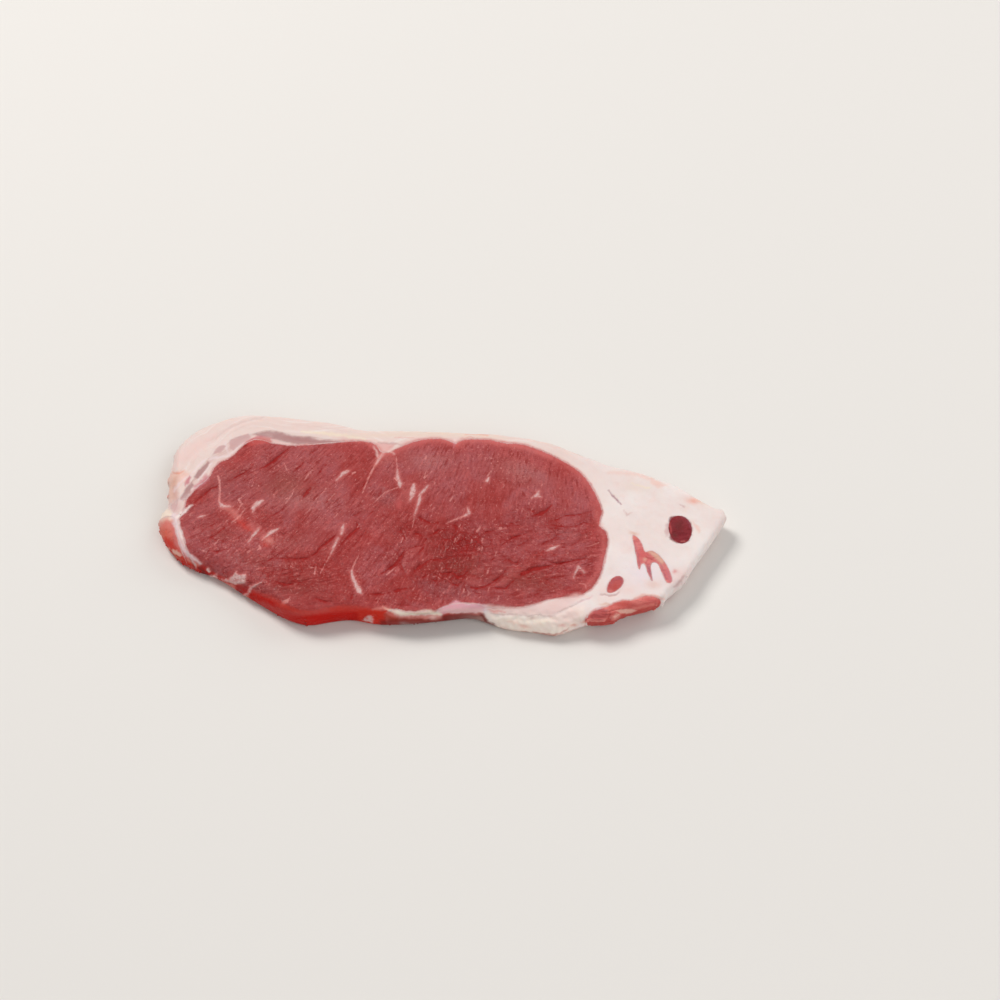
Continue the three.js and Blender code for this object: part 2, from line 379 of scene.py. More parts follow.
class Tint(Enum):
    """The colours that are daubed on, as a screen shows them."""

    WHITE = (238, 222, 217)
    CREAM = (240, 217, 198)
    YELLOW = (236, 220, 192)
    FASCIA = (228, 208, 209)
    LAVENDER = (228, 212, 216)
    LILAC = (220, 158, 168)
    VEIL = (200, 160, 158)
    MAUVE = (170, 116, 114)
    PLUM = (152, 92, 108)
    SHADE = (212, 186, 180)
    BLUSH = (230, 190, 184)
    PEACH = (230, 182, 166)
    APRICOT = (226, 148, 126)
    PINK = (212, 128, 122)
    ROSE = (198, 86, 82)
    LUMP = (178, 76, 76)
    BLOOD = (158, 40, 42)
    ASH = (150, 80, 82)
    FADED = (154, 76, 78)
    DUSK = (146, 64, 58)
    DEEP = (138, 40, 37)
    GLOW = (174, 58, 54)
    ROSY = (184, 82, 82)
    SALMON = (222, 134, 124)
    CORAL = (204, 90, 88)
    CLAY = (214, 92, 70)
    BUFF = (226, 203, 187)
    UMBER = (126, 60, 50)
    BRICK = (184, 78, 72)
    EMBER = (208, 46, 28)
    VIVID = (188, 16, 4)
    # painted shadow: the darkest red, laid along the bottom of the front sides and the lobe
    MAROON = (112, 4, 0)
    RUST = (170, 62, 36)
    TAN = (216, 170, 150)
    # painted light: a cream brighter than the fat, laid on the front-facing lobe so that it looks lit
    ECRU = (255, 236, 223)
    GREYED = (174, 132, 130)
    SHELL = (238, 204, 198)
    GRAPE = (196, 120, 128)
    DAWN = (208, 112, 108)
    BROWN = (98, 46, 42)
    WINE = (126, 44, 52)

    def stroke(self, soft: float, strength: float, *marks: Mark) -> Daub:
        """A streak of this colour, with the softness of its border and its strength."""
        return Daub(self.value, Stroke(*marks), soft, strength)

    def patch(self, soft: float, strength: float, *corners: Point) -> Daub:
        """A ragged patch of this colour, with the softness of its border and its strength."""
        return Daub(self.value, Outline(*corners), soft, strength)

    def spot(self, strength: float, *place: float) -> Daub:
        """A soft spot of this colour, with its strength and then the sizes of a Spot."""
        return Daub(self.value, Spot(*place), 0.0, strength)


MARBLING = streaks(
    ((-95.6, 12, 0.6), (-94.4, 10.3, 1.5), (-91, 9.9, 0.7)),
    ((-77, 12.8, 0.7), (-79, 11.4, 2.4), (-80.6, 9.6, 1.6), (-80.6, 6.5, 0.3)),
    ((-104, 4.2, 0.4), (-102.8, 4.8, 1.1), (-101.2, 5.4, 0.3)),
    ((-77.3, -1.2, 0.4), (-79, -4, 1.2), (-81.5, -8.5, 0.4)),
    ((-69, -1.8, 0.3), (-72, -3.6, 1.7), (-74.8, -6.4, 0.6)),
    ((-25.3, 39.5, 1.3), (-27.1, 36.1, 0.9), (-28.6, 33, 0.5)),
    ((-45.6, 23.4, 0.3), (-44.2, 25.2, 0.9), (-42.8, 27.2, 1.6), (-41.2, 28.4, 1.2), (-40.2, 29, 0.4)),
    ((-19.2, 29.6, 0.3), (-18.9, 25.5, 1.3), (-17.8, 22, 1.7), (-17.6, 19.8, 0.4)),
    ((-11.8, 21.2, 1.2), (-12.2, 17.4, 2.3), (-13.2, 12.6, 0.5)),
    ((-5.6, 20.8, 0.5), (-7.2, 18.2, 1.1), (-8.8, 16, 1), (-9.3, 12, 1.1), (-10, 9.5, 0.7), (-11, 5, 0.3)),
    ((-41.3, 0.6, 0.5), (-41.6, -1.6, 1.3), (-42, -4.5, 1)),
    ((-43.5, -7, 0.8), (-44.6, -10, 0.8), (-45.8, -14.6, 0.4)),
    ((-36.8, -23.6, 0.5), (-36.4, -26.4, 1.1), (-35, -30, 1.5), (-33, -34, 2), (-32.4, -35, 1)),
    ((10.4, 5, 0.4), (12.5, 6.5, 1.1), (11.8, 9, 0.4)),
    ((20.8, 24.6, 0.7), (20.2, 23.2, 1.4)),
    ((39.6, 14.2, 0.5), (42.2, 16, 1.4), (42.6, 18, 0.3)),
    ((41, 15.2, 0.9), (43.6, 14.6, 0.4)),
    ((45.8, -13.2, 0.3), (48.4, -12, 1.3), (50.8, -10.8, 0.4)),
    ((56.5, -27.5, 0.4), (58.8, -21.5, 0.8), (61.2, -24.5, 0.6)),
)
EDGE_FAT = (
    Outline((-92.6, -27), (-90.6, -27.9), (-88.1, -27.8), (-86.6, -26), (-85.5, -24), (-84.6, -25.8),
        (-81.2, -25.4), (-81.2, -29.8), (-83.4, -29.9), (-85, -30.5), (-87.5, -29.4), (-90.5, -28.5)),
    Stroke((-83.8, -34.8, 0.8), (-82.6, -36.1, 1.3), (-79.4, -35, 1), (-78.5, -32, 1.2), (-74.2, -29.4, 0.4)),
    Stroke((-97.4, -22.8, 1.2), (-96.8, -23.6, 0.9)),
    Stroke((-96, -26, 0.9), (-93.8, -25.7, 1.2)),
    Outline((-31.5, -48.2), (-29.9, -46.2), (-28, -45.6), (-26.8, -46.8), (-26.9, -49.4), (-28.4, -48.7),
        (-30, -48.5)),
)
FAINT_MARBLING = streaks(
    ((2.5, 1, 0.4), (6, 2.8, 0.7), (11.2, 5.2, 0.9)),
    ((-28, 34, 0.8), (-30.1, 29.6, 0.9), (-32, 24, 0.7), (-34, 17, 0.5)),
    ((17.8, 0, 0.3), (15.9, -3, 1.1)),
    ((23.6, 3.2, 0.6), (22.6, 2, 0.4)),
    ((26, -1.5, 1.3),),
    ((-2.6, 22.4, 0.6), (-2.7, 21.6, 0.5)),
    ((-15.7, -6, 0.4), (-16.3, -8.9, 0.6)),
    ((-76.9, -10.4, 0.5), (-76.2, -12, 1.1), (-77.4, -13, 0.4)),
    ((-79.2, -12, 0.3), (-81.6, -14.1, 0.7)),
    ((-101.8, -12.2, 0.4), (-99.2, -13.2, 0.6)),
    ((-94.3, -7.4, 0.6), (-95.9, -9.7, 0.5)),
    ((-55.6, 30.2, 0.3), (-59, 24.3, 0.4)),
    ((-34, -15, 0.3), (-35.6, -19, 0.6), (-36.8, -23.6, 0.6)),
    ((-45.8, -14.6, 0.5), (-47.6, -19, 0.4), (-50, -25, 0.3)),
    ((-56, 30.6, 0.2), (-58, 27, 0.4), (-59.6, 23.4, 0.2)),
    ((-46, 16.4, 0.6), (-48.6, 12.6, 0.2)),
    ((-50.6, 17.8, 0.2), (-54, 13.4, 0.3)),
    ((-44.2, 6, 0.5), (-45.6, 3.6, 0.4)),
    ((-69, 33, 0.4), (-67.5, 29, 0.6)),
    ((-20.4, 25, 0.6), (-18, 22.6, 0.8)),
    ((-38.8, 27.4, 0.5), (-37.6, 28, 0.7)),
    ((-97.4, 26, 0.7), (-96.6, 23.6, 1.1)),
    ((-96.4, 22.6, 0.9), (-95.9, 18, 0.8), (-95.8, 12.6, 1)),
    ((-84.5, 16.6, 0.3), (-87.5, 13.6, 0.8), (-86, 11.2, 0.7), (-87, 8.6, 0.5)),
    ((-84.3, 8.8, 0.4), (-86.4, 5, 0.9), (-89.6, 1.2, 0.5)),
    ((-20, 36.9, 0.3), (-19.6, 33, 0.5), (-19.2, 29.6, 0.4)),
    ((-18.5, 20, 0.5), (-24, 17.5, 0.6), (-27, 14.4, 0.4), (-28.5, 12, 0.3)),
    ((-18, -21, 0.4), (-22, -25.5, 0.6)),
    ((-52, -21.5, 0.4), (-52.4, -25.2, 0.7)),
    ((5.5, 15, 0.5), (4, 12.5, 0.6)),
    ((22, 28.4, 0.4), (20.4, 26, 0.9)),
    ((-6.8, 37, 0.3), (-7, 35.2, 0.7)),
    ((-6.4, 29.6, 0.3), (-7.4, 24.6, 0.5), (-4, 28.4, 0.3)),
    ((-11, 5, 0.4), (-11.8, -1, 0.25)),
    ((59, -30, 0.3), (61.5, -30.5, 0.6), (62, -33.4, 0.3)),
    ((63.6, -11.2, 0.4), (67.7, -9.2, 0.5)),
    ((-67, 11, 0.3), (-64.5, 15.5, 0.5), (-63.5, 19, 0.3)),
    ((-58.5, 5, 0.3), (-55.6, 9, 0.5)),
    ((-66.4, -40, 0.8), (-63.4, -38.8, 2), (-62, -37.4, 0.4)),
)
TICKS = (
    (6.5, -7.5), (13.5, -8), (18, -7.5), (18, -12), (24, -14.5), (20.5, -24), (21, -32.5), (25, -37),
    (10.5, -33.5), (1, -22.5),
)
# painted highlights: small pale dots where the wet cut face catches the light
GLINTS = (
    (14.1, 35.3), (11.5, 30), (16, 41.7), (22.1, 35.4), (21.9, 32.8), (24.8, 33.8), (26.1, 30),
    (17.5, 19.5), (-72.2, 15.8), (-60.2, 12.6), (33, 8), (-50, 19),
)
SMEARS = (
    Spot(-88, 6.5, 8, 2.2, -48, 0.9),
    Spot(-80, -1, 7, 2.2, -36, 0.9),
    Spot(-71.5, -7, 4.5, 2.4, -20, 0.9),
    Spot(-86, 9.5, 5, 3, 0, 0.4),
    Spot(-24, 36, 5, 3, 62, 0.5),
    Spot(-14, 16, 4, 7, 0, 0.4),
    Spot(-46, -12, 2.4, 8, -12, 0.4),
)
GROOVES = streaks(
    ((-66.5, 42, 0.6), (-70, 38.5, 1.3), (-73, 35, 1.6), (-76, 32, 1.2), (-79.5, 29.5, 0.6)),
    ((-82.8, 30.6, 0.5), (-86, 28, 0.9), (-90, 25.2, 0.7), (-94, 22.6, 0.4)),
    ((-96.8, 20.6, 0.8), (-99.5, 19.6, 1.2), (-103, 15.8, 1.4), (-106, 12.6, 1), (-107.6, 11.6, 0.5)),
    ((-84, 44, 0.5), (-88, 42.4, 1.4), (-91, 39, 1.2), (-92.5, 36.6, 0.5)),
    ((-90, 1.2, 0.4), (-94, -2.5, 1.2), (-96, -5, 0.9), (-100, -7.5, 0.4)),
    ((-92, 4, 0.3), (-97, 1, 0.7), (-101, -2, 0.3)),
    ((-66, 10.2, 0.4), (-69, 7, 0.9), (-72, 5, 0.6), (-75.5, 2, 0.3)),
    ((-60, 33.8, 0.4), (-62, 31, 1.2), (-63.6, 29.4, 0.5)),
    ((-53.5, 43, 0.3), (-55.5, 40.2, 0.9), (-57, 38.6, 0.3)),
    ((-49.6, 33.4, 0.3), (-51.5, 30.5, 0.8), (-53.5, 27, 0.7), (-54.5, 25.4, 0.3)),
    ((-56.4, 19.8, 0.5), (-57.6, 17.4, 2.2), (-59, 15.4, 1.3), (-59.8, 13.4, 0.4)),
    ((-50.4, 18.6, 0.3), (-52.4, 16, 0.6), (-54.6, 13.6, 0.3)),
    ((-45.2, 17, 0.3), (-48, 13.2, 0.6), (-49.4, 11.6, 0.2)),
    ((-36, 19.4, 0.3), (-38.2, 15.4, 0.7), (-39.6, 12.8, 0.2)),
    ((-30.6, 25.6, 0.3), (-32.8, 22.4, 1.1), (-34.6, 19, 0.6), (-35.6, 16.6, 0.2)),
    ((-28, 9, 0.4), (-29.6, 7, 1), (-31.6, 4.2, 0.5), (-32.8, 2.4, 0.2)),
    ((-33.6, 7.6, 0.3), (-36.4, 5.4, 0.8), (-39, 4.4, 0.3)),
    ((-25.4, 19.6, 0.3), (-26.2, 16.6, 0.7), (-26.6, 15.2, 0.2)),
    ((-35.6, 1, 0.8), (-35, -1.4, 1.8), (-37.8, -4.4, 1.5), (-41, -9, 1.3), (-43, -12.6, 0.8),
        (-45, -15.5, 0.3)),
    ((-44, -4.6, 0.6), (-46.4, -7.6, 1.4), (-50, -11, 1.2), (-52.4, -14.6, 1.2), (-55.4, -17, 0.9),
        (-60, -17.6, 0.9), (-66, -17.4, 1.3), (-69, -16.8, 0.4)),
    ((-31, -1, 0.3), (-31.8, -3.6, 0.9), (-34, -6, 0.4), (-36, -10, 0.7), (-38.4, -13.6, 0.3)),
    ((-63.6, -22.4, 0.3), (-66.6, -23.6, 0.8), (-71, -24.4, 0.5), (-75, -25.2, 0.2)),
    ((-49, -26.5, 0.2), (-54, -28, 0.5), (-60, -30, 0.8), (-64.5, -30.6, 1.4), (-68, -29.2, 0.9),
        (-72, -28.4, 0.4)),
    ((-80, -17.4, 0.3), (-82.6, -19.2, 0.8), (-84, -19.4, 0.2)),
    ((-90, -11.6, 0.3), (-94, -13.4, 1.2), (-96.6, -13, 0.3)),
    ((-44.5, -39.6, 0.3), (-47.6, -39, 1.2), (-50.6, -37.8, 1), (-52, -37.2, 0.3)),
    ((-66, -13.6, 0.3), (-70.5, -17, 0.8), (-75, -20, 0.3)),
    ((-14.2, -11.6, 0.6), (-15.4, -14.4, 1.2), (-16.8, -17.5, 2.2), (-18.8, -20, 1.8), (-21.8, -22.8, 1.1),
        (-24.6, -25.2, 0.7), (-27, -28.4, 0.3)),
    ((-16.4, -19.4, 0.8), (-15.2, -22.6, 0.6), (-14, -25.2, 0.3)),
    ((5, -16.4, 0.5), (0.5, -17.6, 1), (-3.8, -17.4, 1.3), (-7.4, -20.4, 2), (-9.8, -22.4, 1.2),
        (-11.4, -25.6, 0.3)),
    ((-11, -32, 0.4), (-14, -32.4, 1.3), (-17.6, -33.6, 1.7), (-19.6, -34.2, 0.8)),
    ((-19.8, -34.6, 0.4), (-23, -35.2, 1), (-27.6, -35.2, 1.3), (-29, -35, 0.5)),
    ((-22.4, -38.6, 0.3), (-26, -38.6, 0.8), (-29.6, -38.4, 0.3)),
    ((-8.4, -42, 0.3), (-12, -40.6, 0.8), (-17.4, -40.8, 0.5)),
    ((-35.8, -36.4, 1.8), (-36.4, -37.6, 1.4)),
    ((-15.6, -14.6, 0.8), (-13.4, -11.9, 0.5), (-9.8, -10.7, 0.5), (-6.9, -10, 0.8), (-5.8, -7, 1),
        (-6.4, -4.5, 0.4)),
    ((-9.6, -15, 0.4), (-7.2, -12, 0.8), (-6.2, -9.5, 0.8)),
    ((-5.2, -9.8, 0.3), (-5, -13, 0.5), (-5.6, -16.5, 0.3)),
    ((-8.8, 4, 1.6), (-7.6, 2.8, 2), (-3.4, 1, 0.7), (-0.8, 1.4, 1)),
    ((0.5, -1.4, 0.4), (-0.8, -2.6, 1.2), (-2.4, -4, 1.2), (-5, -5.2, 0.5)),
    ((0.5, -2.2, 0.3), (4, -2.2, 0.6), (7, -3.4, 0.3)),
    ((5.6, 0.6, 0.5), (7, -1, 2), (6.6, -2, 0.8)),
    ((18.8, -3.4, 0.3), (20.6, -3.3, 0.8), (23.6, -2.5, 0.3)),
    ((27, -0.7, 0.3), (32.2, -0.1, 0.8), (36, -0.2, 0.3)),
    ((-16.8, -2.4, 1), (-16, -3.6, 1)),
    ((-15.6, -5.2, 1), (-15, -6.6, 1.2), (-14.8, -8, 0.5)),
    ((-11, -3.8, 0.4), (-8.4, -4.6, 1.3), (-7.4, -5.6, 0.8)),
    ((0.2, -24.4, 0.6), (2.2, -24.6, 1.3), (6.2, -24.2, 1.2), (7.8, -26.8, 1.6), (10.4, -25.4, 1.3),
        (12.2, -23.6, 0.5)),
    ((-9.2, -27.2, 0.6), (-6.4, -26.6, 1), (-4.4, -24.6, 0.4)),
    ((13.6, -31.6, 0.8), (16, -32.2, 1.4), (19.6, -31.2, 1.3), (23.4, -28.2, 0.9), (26.6, -25.4, 1.3),
        (27.8, -23.4, 0.9), (29.2, -21, 0.4)),
    ((22.4, -31.4, 0.3), (24.5, -32.2, 0.9), (28, -32.2, 1), (31, -29, 1), (32.4, -27.6, 0.3)),
    ((14, -33.4, 0.3), (16.5, -34.8, 0.8), (20, -35, 0.3)),
    ((6, -30, 1), (8, -30.6, 1.6), (9, -29.6, 0.8)),
    ((20, -17.6, 0.3), (22.2, -17.6, 0.7), (24.4, -16, 0.3)),
    ((-4, -27.4, 0.3), (-1.5, -28.4, 0.7), (1.2, -28.2, 0.3)),
    ((25.7, -10.7, 0.5), (28.6, -8.3, 1), (31.7, -6, 1.1), (35.2, -5, 0.7), (39, -3.7, 0.3)),
    ((44, -0.4, 0.3), (48.7, -0.3, 0.5), (54.4, -1.1, 1.1), (58.2, -0.8, 0.8), (61.6, 1.2, 0.9),
        (65.4, 1, 0.3)),
    ((46, 1.6, 0.3), (50.5, 2.8, 0.8), (53.6, 4.7, 1), (59.7, 5.4, 1.1), (64.7, 7.2, 0.8), (69, 10, 0.3)),
    ((39.4, 4.6, 0.8), (43, 5.8, 2.2), (45.9, 7.6, 1.6), (48.4, 10.8, 0.6)),
    ((43.4, -10.3, 0.4), (46.3, -8.4, 1), (48.8, -7, 0.7), (53.1, -7.8, 0.3)),
    ((52, -11.8, 0.3), (55, -11.4, 0.5), (58.6, -9.4, 0.6), (61.2, -6, 0.3)),
    ((30, -11.4, 0.3), (33.1, -11, 0.8), (38.3, -7.9, 0.3)),
    ((34, -26.4, 0.5), (35.4, -25, 2.4), (38.4, -22.8, 2.2), (42.7, -21.9, 1.8), (47.2, -20.8, 1),
        (52.9, -19.3, 0.9), (60.9, -17.6, 1.1), (66, -17.8, 0.4)),
    ((34.2, -25, 0.8), (35.2, -28.3, 0.4)),
    ((45.2, -28.6, 0.3), (47.7, -27.1, 0.9), (51, -26.8, 0.7), (54.6, -26.2, 0.3)),
    ((57.3, -26.6, 0.5), (61, -25.5, 0.9), (64, -25.8, 0.4)),
    ((38, -36.8, 0.3), (40, -35.8, 0.7), (42.4, -34.8, 0.3)),
    ((32.6, -21.6, 0.3), (33.2, -18.6, 0.5), (35.4, -15.4, 0.3)),
    ((54, -34.2, 0.3), (57.6, -33.4, 0.5), (60, -33, 0.2)),
    ((46.6, -17.6, 0.2), (49.4, -14.8, 0.5), (51, -13.2, 0.2)),
    ((28, -14.5, 0.3), (29, -17.5, 0.7), (31.6, -19.4, 0.9), (33.6, -19.2, 0.3)),
    ((29, 1, 0.3), (32, 0.8, 0.6), (34, 2, 0.4)),
    ((31, 2.8, 0.8), (32.2, 4.4, 0.5)),
    ((38, 8.6, 0.4), (39.6, 7.2, 0.8), (41, 7.6, 0.3)),
)
FAT_CREASES = streaks(
    ((-79.8, 58.6, 0.2), (-88.3, 56.2, 0.4), (-94.2, 52.9, 0.5), (-98, 49.7, 0.5), (-100.3, 46.5, 0.2)),
    ((72.7, 18.5, 0.2), (75.4, 14.6, 0.5), (77.9, 11.1, 0.3)),
    ((22, -45, 0.2), (26, -45.3, 0.4), (33, -45.4, 0.4), (36, -46, 0.5), (40, -45.8, 0.4), (46, -45.8, 0.4),
        (48.8, -46.4, 0.2)),
    ((49.6, -44.4, 0.2), (53, -42.4, 0.4), (57, -40.6, 0.4), (60, -38.6, 0.3), (63.4, -36.8, 0.2)),
    ((67.5, -35.3, 0.2), (71.2, -36, 0.5), (74, -35.6, 0.4), (75.6, -34.2, 0.2)),
    ((-117.4, 28.2, 0.4), (-115.2, 27.3, 0.6), (-112.2, 29.9, 0.2)),
)
LOBE = (
    Spot(24, -52, 10, 5, -20, 1.3),
    Spot(40, -52, 12, 6, 0, 1.3),
    Spot(56, -46, 10, 5, 35, 1.3),
)
FLAKES = (
    Outline((-15.4, -15.2), (-13.2, -12.4), (-9.8, -11.2), (-7.2, -10.8), (-7.8, -12.6), (-9.6, -15.2),
        (-12, -17.4), (-14.4, -17.6)),
    Outline((-4.4, -9.6), (-2.2, -7.6), (-0.4, -8.6), (-1.6, -11), (-4, -11.4)),
    Outline((23, -30.6), (27.6, -26.8), (30.8, -27.6), (29.6, -30.4), (26, -31.6)),
    Outline((29.4, -22.2), (33, -21), (34.4, -24), (33.6, -27), (29.6, -27), (28, -24.6)),
    Outline((12.4, -25.6), (17.8, -27.6), (19.2, -30.4), (14, -31), (9.8, -28.2)),
    Outline((-20.4, -23.4), (-17.4, -20.6), (-16.2, -22.6), (-17.6, -24.6)),
    Outline((7, -13.8), (15, -13.4), (15.4, -14.6), (9, -15.2)),
    Outline((21, -24.8), (19.6, -22.4), (20.4, -21.6), (21.6, -24)),
)
TORN = (
    Spot(10, -10, 15, 13),
    Spot(4, -22, 20, 10, 20, 0.8),
    Spot(28, -4, 12, 8, 0, 0.6),
    Spot(34, 6, 8, 5, 0, 0.45),
    Spot(-18, -16, 9, 8, 0, 0.6),
    Spot(-42, -12, 14, 7, 45, 0.5),
)
ROUGH = (
    Spot(-62, -24, 26, 12, -10, 0.7),
    Spot(-95, -8, 13, 11, -40, 0.55),
    Spot(-72, -6, 12, 8, 0, 0.6),
    Spot(-84, 30, 12, 6, 35, 0.5),
    Spot(48, -22, 20, 12, 10, 0.55),
    Spot(50, -2, 18, 7, 0, 0.6),
    Spot(-5, -36, 30, 6, 0, 0.5),
    Spot(-14, 0, 12, 8, 0, 0.5),
)
GROUND_DAUBS = (
    Tint.FADED.spot(0.7, -91, 17, 7, 5),
    Tint.FADED.spot(0.5, -103, 2, 7, 8),
    Tint.GLOW.spot(0.9, -84, 1, 7, 2.6, -42),
    Tint.GLOW.spot(0.5, -88, 36, 12, 4, 40),
    Tint.GLOW.spot(0.7, -103, 15, 6, 2.2, 45),
    Tint.DEEP.spot(0.8, 10, -17.6, 6.5, 3),
    Tint.DEEP.spot(0.8, 9, -9, 8, 6),
    Tint.DUSK.spot(0.8, 1, -12, 7, 7),
    Tint.DUSK.spot(0.9, 3, -21, 11, 2.4),
    Tint.UMBER.spot(0.8, 9, -25, 10, 6),
    Tint.UMBER.spot(0.4, 12, -16, 6, 5),
    Tint.UMBER.spot(0.5, 33, -28, 9, 4),
    Tint.DEEP.spot(0.4, -12, -2, 9, 4),
    Tint.ASH.patch(3.5, 0.8, (-9, -27), (2, -28.6), (14, -29.6), (18, -33), (8, -38), (-4, -36), (-10, -31)),
    Tint.DEEP.spot(0.6, 44, 6.2, 6, 3, 20),
    Tint.ASH.spot(0.6, 53, -5.2, 7, 2.4),
    Tint.ASH.spot(0.4, 38, 1, 8, 2),
    Tint.DUSK.spot(0.4, -62, -25, 11, 5),
    Tint.FADED.spot(0.5, -64, -33, 12, 3),
    Tint.ASH.spot(0.7, -23, 14, 5, 4),
    Tint.FADED.spot(0.5, -72, 27, 6, 9),
    Tint.GLOW.spot(0.4, -33, -6, 8, 5, 40),
    Tint.GLOW.spot(0.4, 30, -6, 8, 3, 20),
    Tint.DUSK.spot(0.5, 29, -22, 6, 4),
    Tint.DUSK.spot(0.5, 44, -32, 10, 3),
    Tint.DEEP.spot(0.85, 9, -27, 9, 3.4),
    Tint.DUSK.spot(1, -68, 21, 9, 8),
    Tint.DUSK.spot(0.4, -62, -9, 9, 5, 20),
    Tint.DEEP.spot(1, 10, -11, 6.5, 5.5),
    Tint.BLOOD.spot(0.5, 10, -12, 4.5, 3.5),
    Tint.DUSK.spot(0.7, 40, -28, 9, 4),
    Tint.DUSK.spot(1, -60, -32, 10, 4),
    Tint.DEEP.spot(0.5, -60, -32, 9, 4),
    Tint.DEEP.spot(0.6, -1, -11, 4, 4),
    Tint.DUSK.spot(0.5, 31, -27.4, 7, 3),
    Tint.DUSK.spot(0.6, -94, -4, 8, 4, -30),
    Tint.DUSK.spot(0.6, -78, -18, 9, 5, -20),
    Tint.ASH.spot(0.5, -96, 22, 9, 6, 40),
    Tint.DUSK.spot(0.4, -92, 28, 8, 4, 30),
    Tint.VEIL.spot(0.22, 35, 29, 12, 7, -25),
    Tint.VEIL.spot(0.16, -5, 34, 10, 5),
    Tint.VEIL.spot(0.16, -58, 14, 12, 6),
    Tint.ROSY.stroke(3, 0.6, (66, -4, 3), (68, -14, 3.4), (66, -26, 3), (60, -33, 2.6), (48, -36, 2)),
    Tint.ROSY.stroke(5, 0.45, (66, 12, 2), (58, 24, 4), (44, 33, 5), (20, 42, 3), (-10, 42, 2)),
    Tint.ROSY.stroke(4, 0.4, (-28, 41, 2), (-36, 41, 5), (-50, 40, 3)),
    Tint.ROSY.spot(0.4, -32, -43, 26, 3),
)
SILVERSKIN_DAUBS = (
    Tint.GREYED.patch(0.7, 0.9, (-74.8, 49), (-70.8, 49.7), (-65.8, 47.9), (-58.2, 47.4), (-54.5, 46.2),
        (-49.5, 45.7), (-43, 45.2), (-49.4, 43.9), (-55.4, 43.6), (-64.5, 43.6), (-68.1, 44.4), (-72.8, 46.4),
        (-75.4, 46.8)),
    Tint.MAUVE.stroke(0.8, 0.5, (-70, 47.6, 0.5), (-62, 45.9, 1), (-52, 45, 0.6)),
    Tint.GREYED.patch(0.7, 0.8, (-83.7, 49), (-78.7, 50.7), (-73.6, 50.7), (-70.5, 49.4), (-73.4, 47.1),
        (-76, 47.8), (-80.6, 47.8)),
    Tint.ROSE.patch(0.8, 0.65, (-85.1, 46.6), (-80.6, 48.4), (-75.4, 47.1), (-75.3, 44.6), (-80.3, 43.6),
        (-85.4, 42.4), (-86.6, 44)),
    Tint.GRAPE.stroke(0.6, 0.7, (-88.4, 43.4, 0.4), (-84.6, 46.4, 0.7), (-80, 48.2, 0.6), (-75.8, 47.4, 0.3)),
    Tint.BLUSH.stroke(0.4, 0.8, (-75.4, 46.3, 0.6), (-72.7, 45, 1.2), (-69.1, 43.7, 0.8), (-64.3, 42.6, 0.3)),
    Tint.VEIL.patch(0.5, 0.85, (-94.2, 45.8), (-90.7, 47.6), (-85.7, 49.2), (-84.6, 47.6), (-86, 45.8),
        (-88.9, 43.3), (-91.7, 40.1), (-93.3, 41.4)),
    Tint.FASCIA.stroke(0.7, 0.7, (-92.6, 38.6, 0.9), (-90.2, 41.4, 0.5), (-87.4, 44.6, 0.4)),
    Tint.FASCIA.stroke(0.8, 0.8, (-101.4, 35.4, 1.2), (-97.6, 36.4, 1), (-93.6, 37.4, 1)),
    Tint.FASCIA.stroke(0.6, 0.7, (-95.8, 45, 0.5), (-95.4, 41.8, 0.8), (-93.6, 38.4, 0.5)),
    Tint.VEIL.patch(0.4, 0.9, (-97, 43), (-99.6, 41), (-100.6, 37.6), (-97, 39.2), (-95.6, 42.6)),
    Tint.GREYED.patch(0.5, 0.9, (-108, 25.4), (-105.4, 30.6), (-102.6, 34.4), (-101.6, 33.4), (-103.5, 28.6),
        (-106.4, 24.6)),
    Tint.FASCIA.stroke(0.4, 0.85, (-109.4, 26.4, 0.4), (-106.6, 31.6, 0.8), (-103.2, 35.6, 0.5)),
    Tint.FASCIA.stroke(0.5, 0.85, (-106, 24.2, 0.4), (-102.8, 28.6, 0.8), (-100.8, 33, 0.7)),
    Tint.GRAPE.patch(0.8, 0.75, (-107.8, 20.4), (-105.2, 23.4), (-102.4, 27.2), (-101.2, 24.2), (-104, 20.6),
        (-107, 18.6)),
    Tint.GREYED.patch(0.6, 0.9, (-113, 14), (-110.6, 19.6), (-108.4, 23), (-107.4, 21), (-109.4, 15.4),
        (-111.6, 12.6)),
    Tint.FASCIA.stroke(0.5, 0.5, (-112.9, 12.4, 0.3), (-109, 15.6, 0.4), (-107, 19.4, 0.6),
        (-104, 22.4, 0.3)),
    Tint.VEIL.spot(0.85, -115, 9.6, 2.3, 3.4, 10),
    Tint.GREYED.spot(0.55, -72, 47.4, 5, 1.8),
    Tint.MAUVE.spot(0.4, -62, 45.8, 6, 1.4),
)
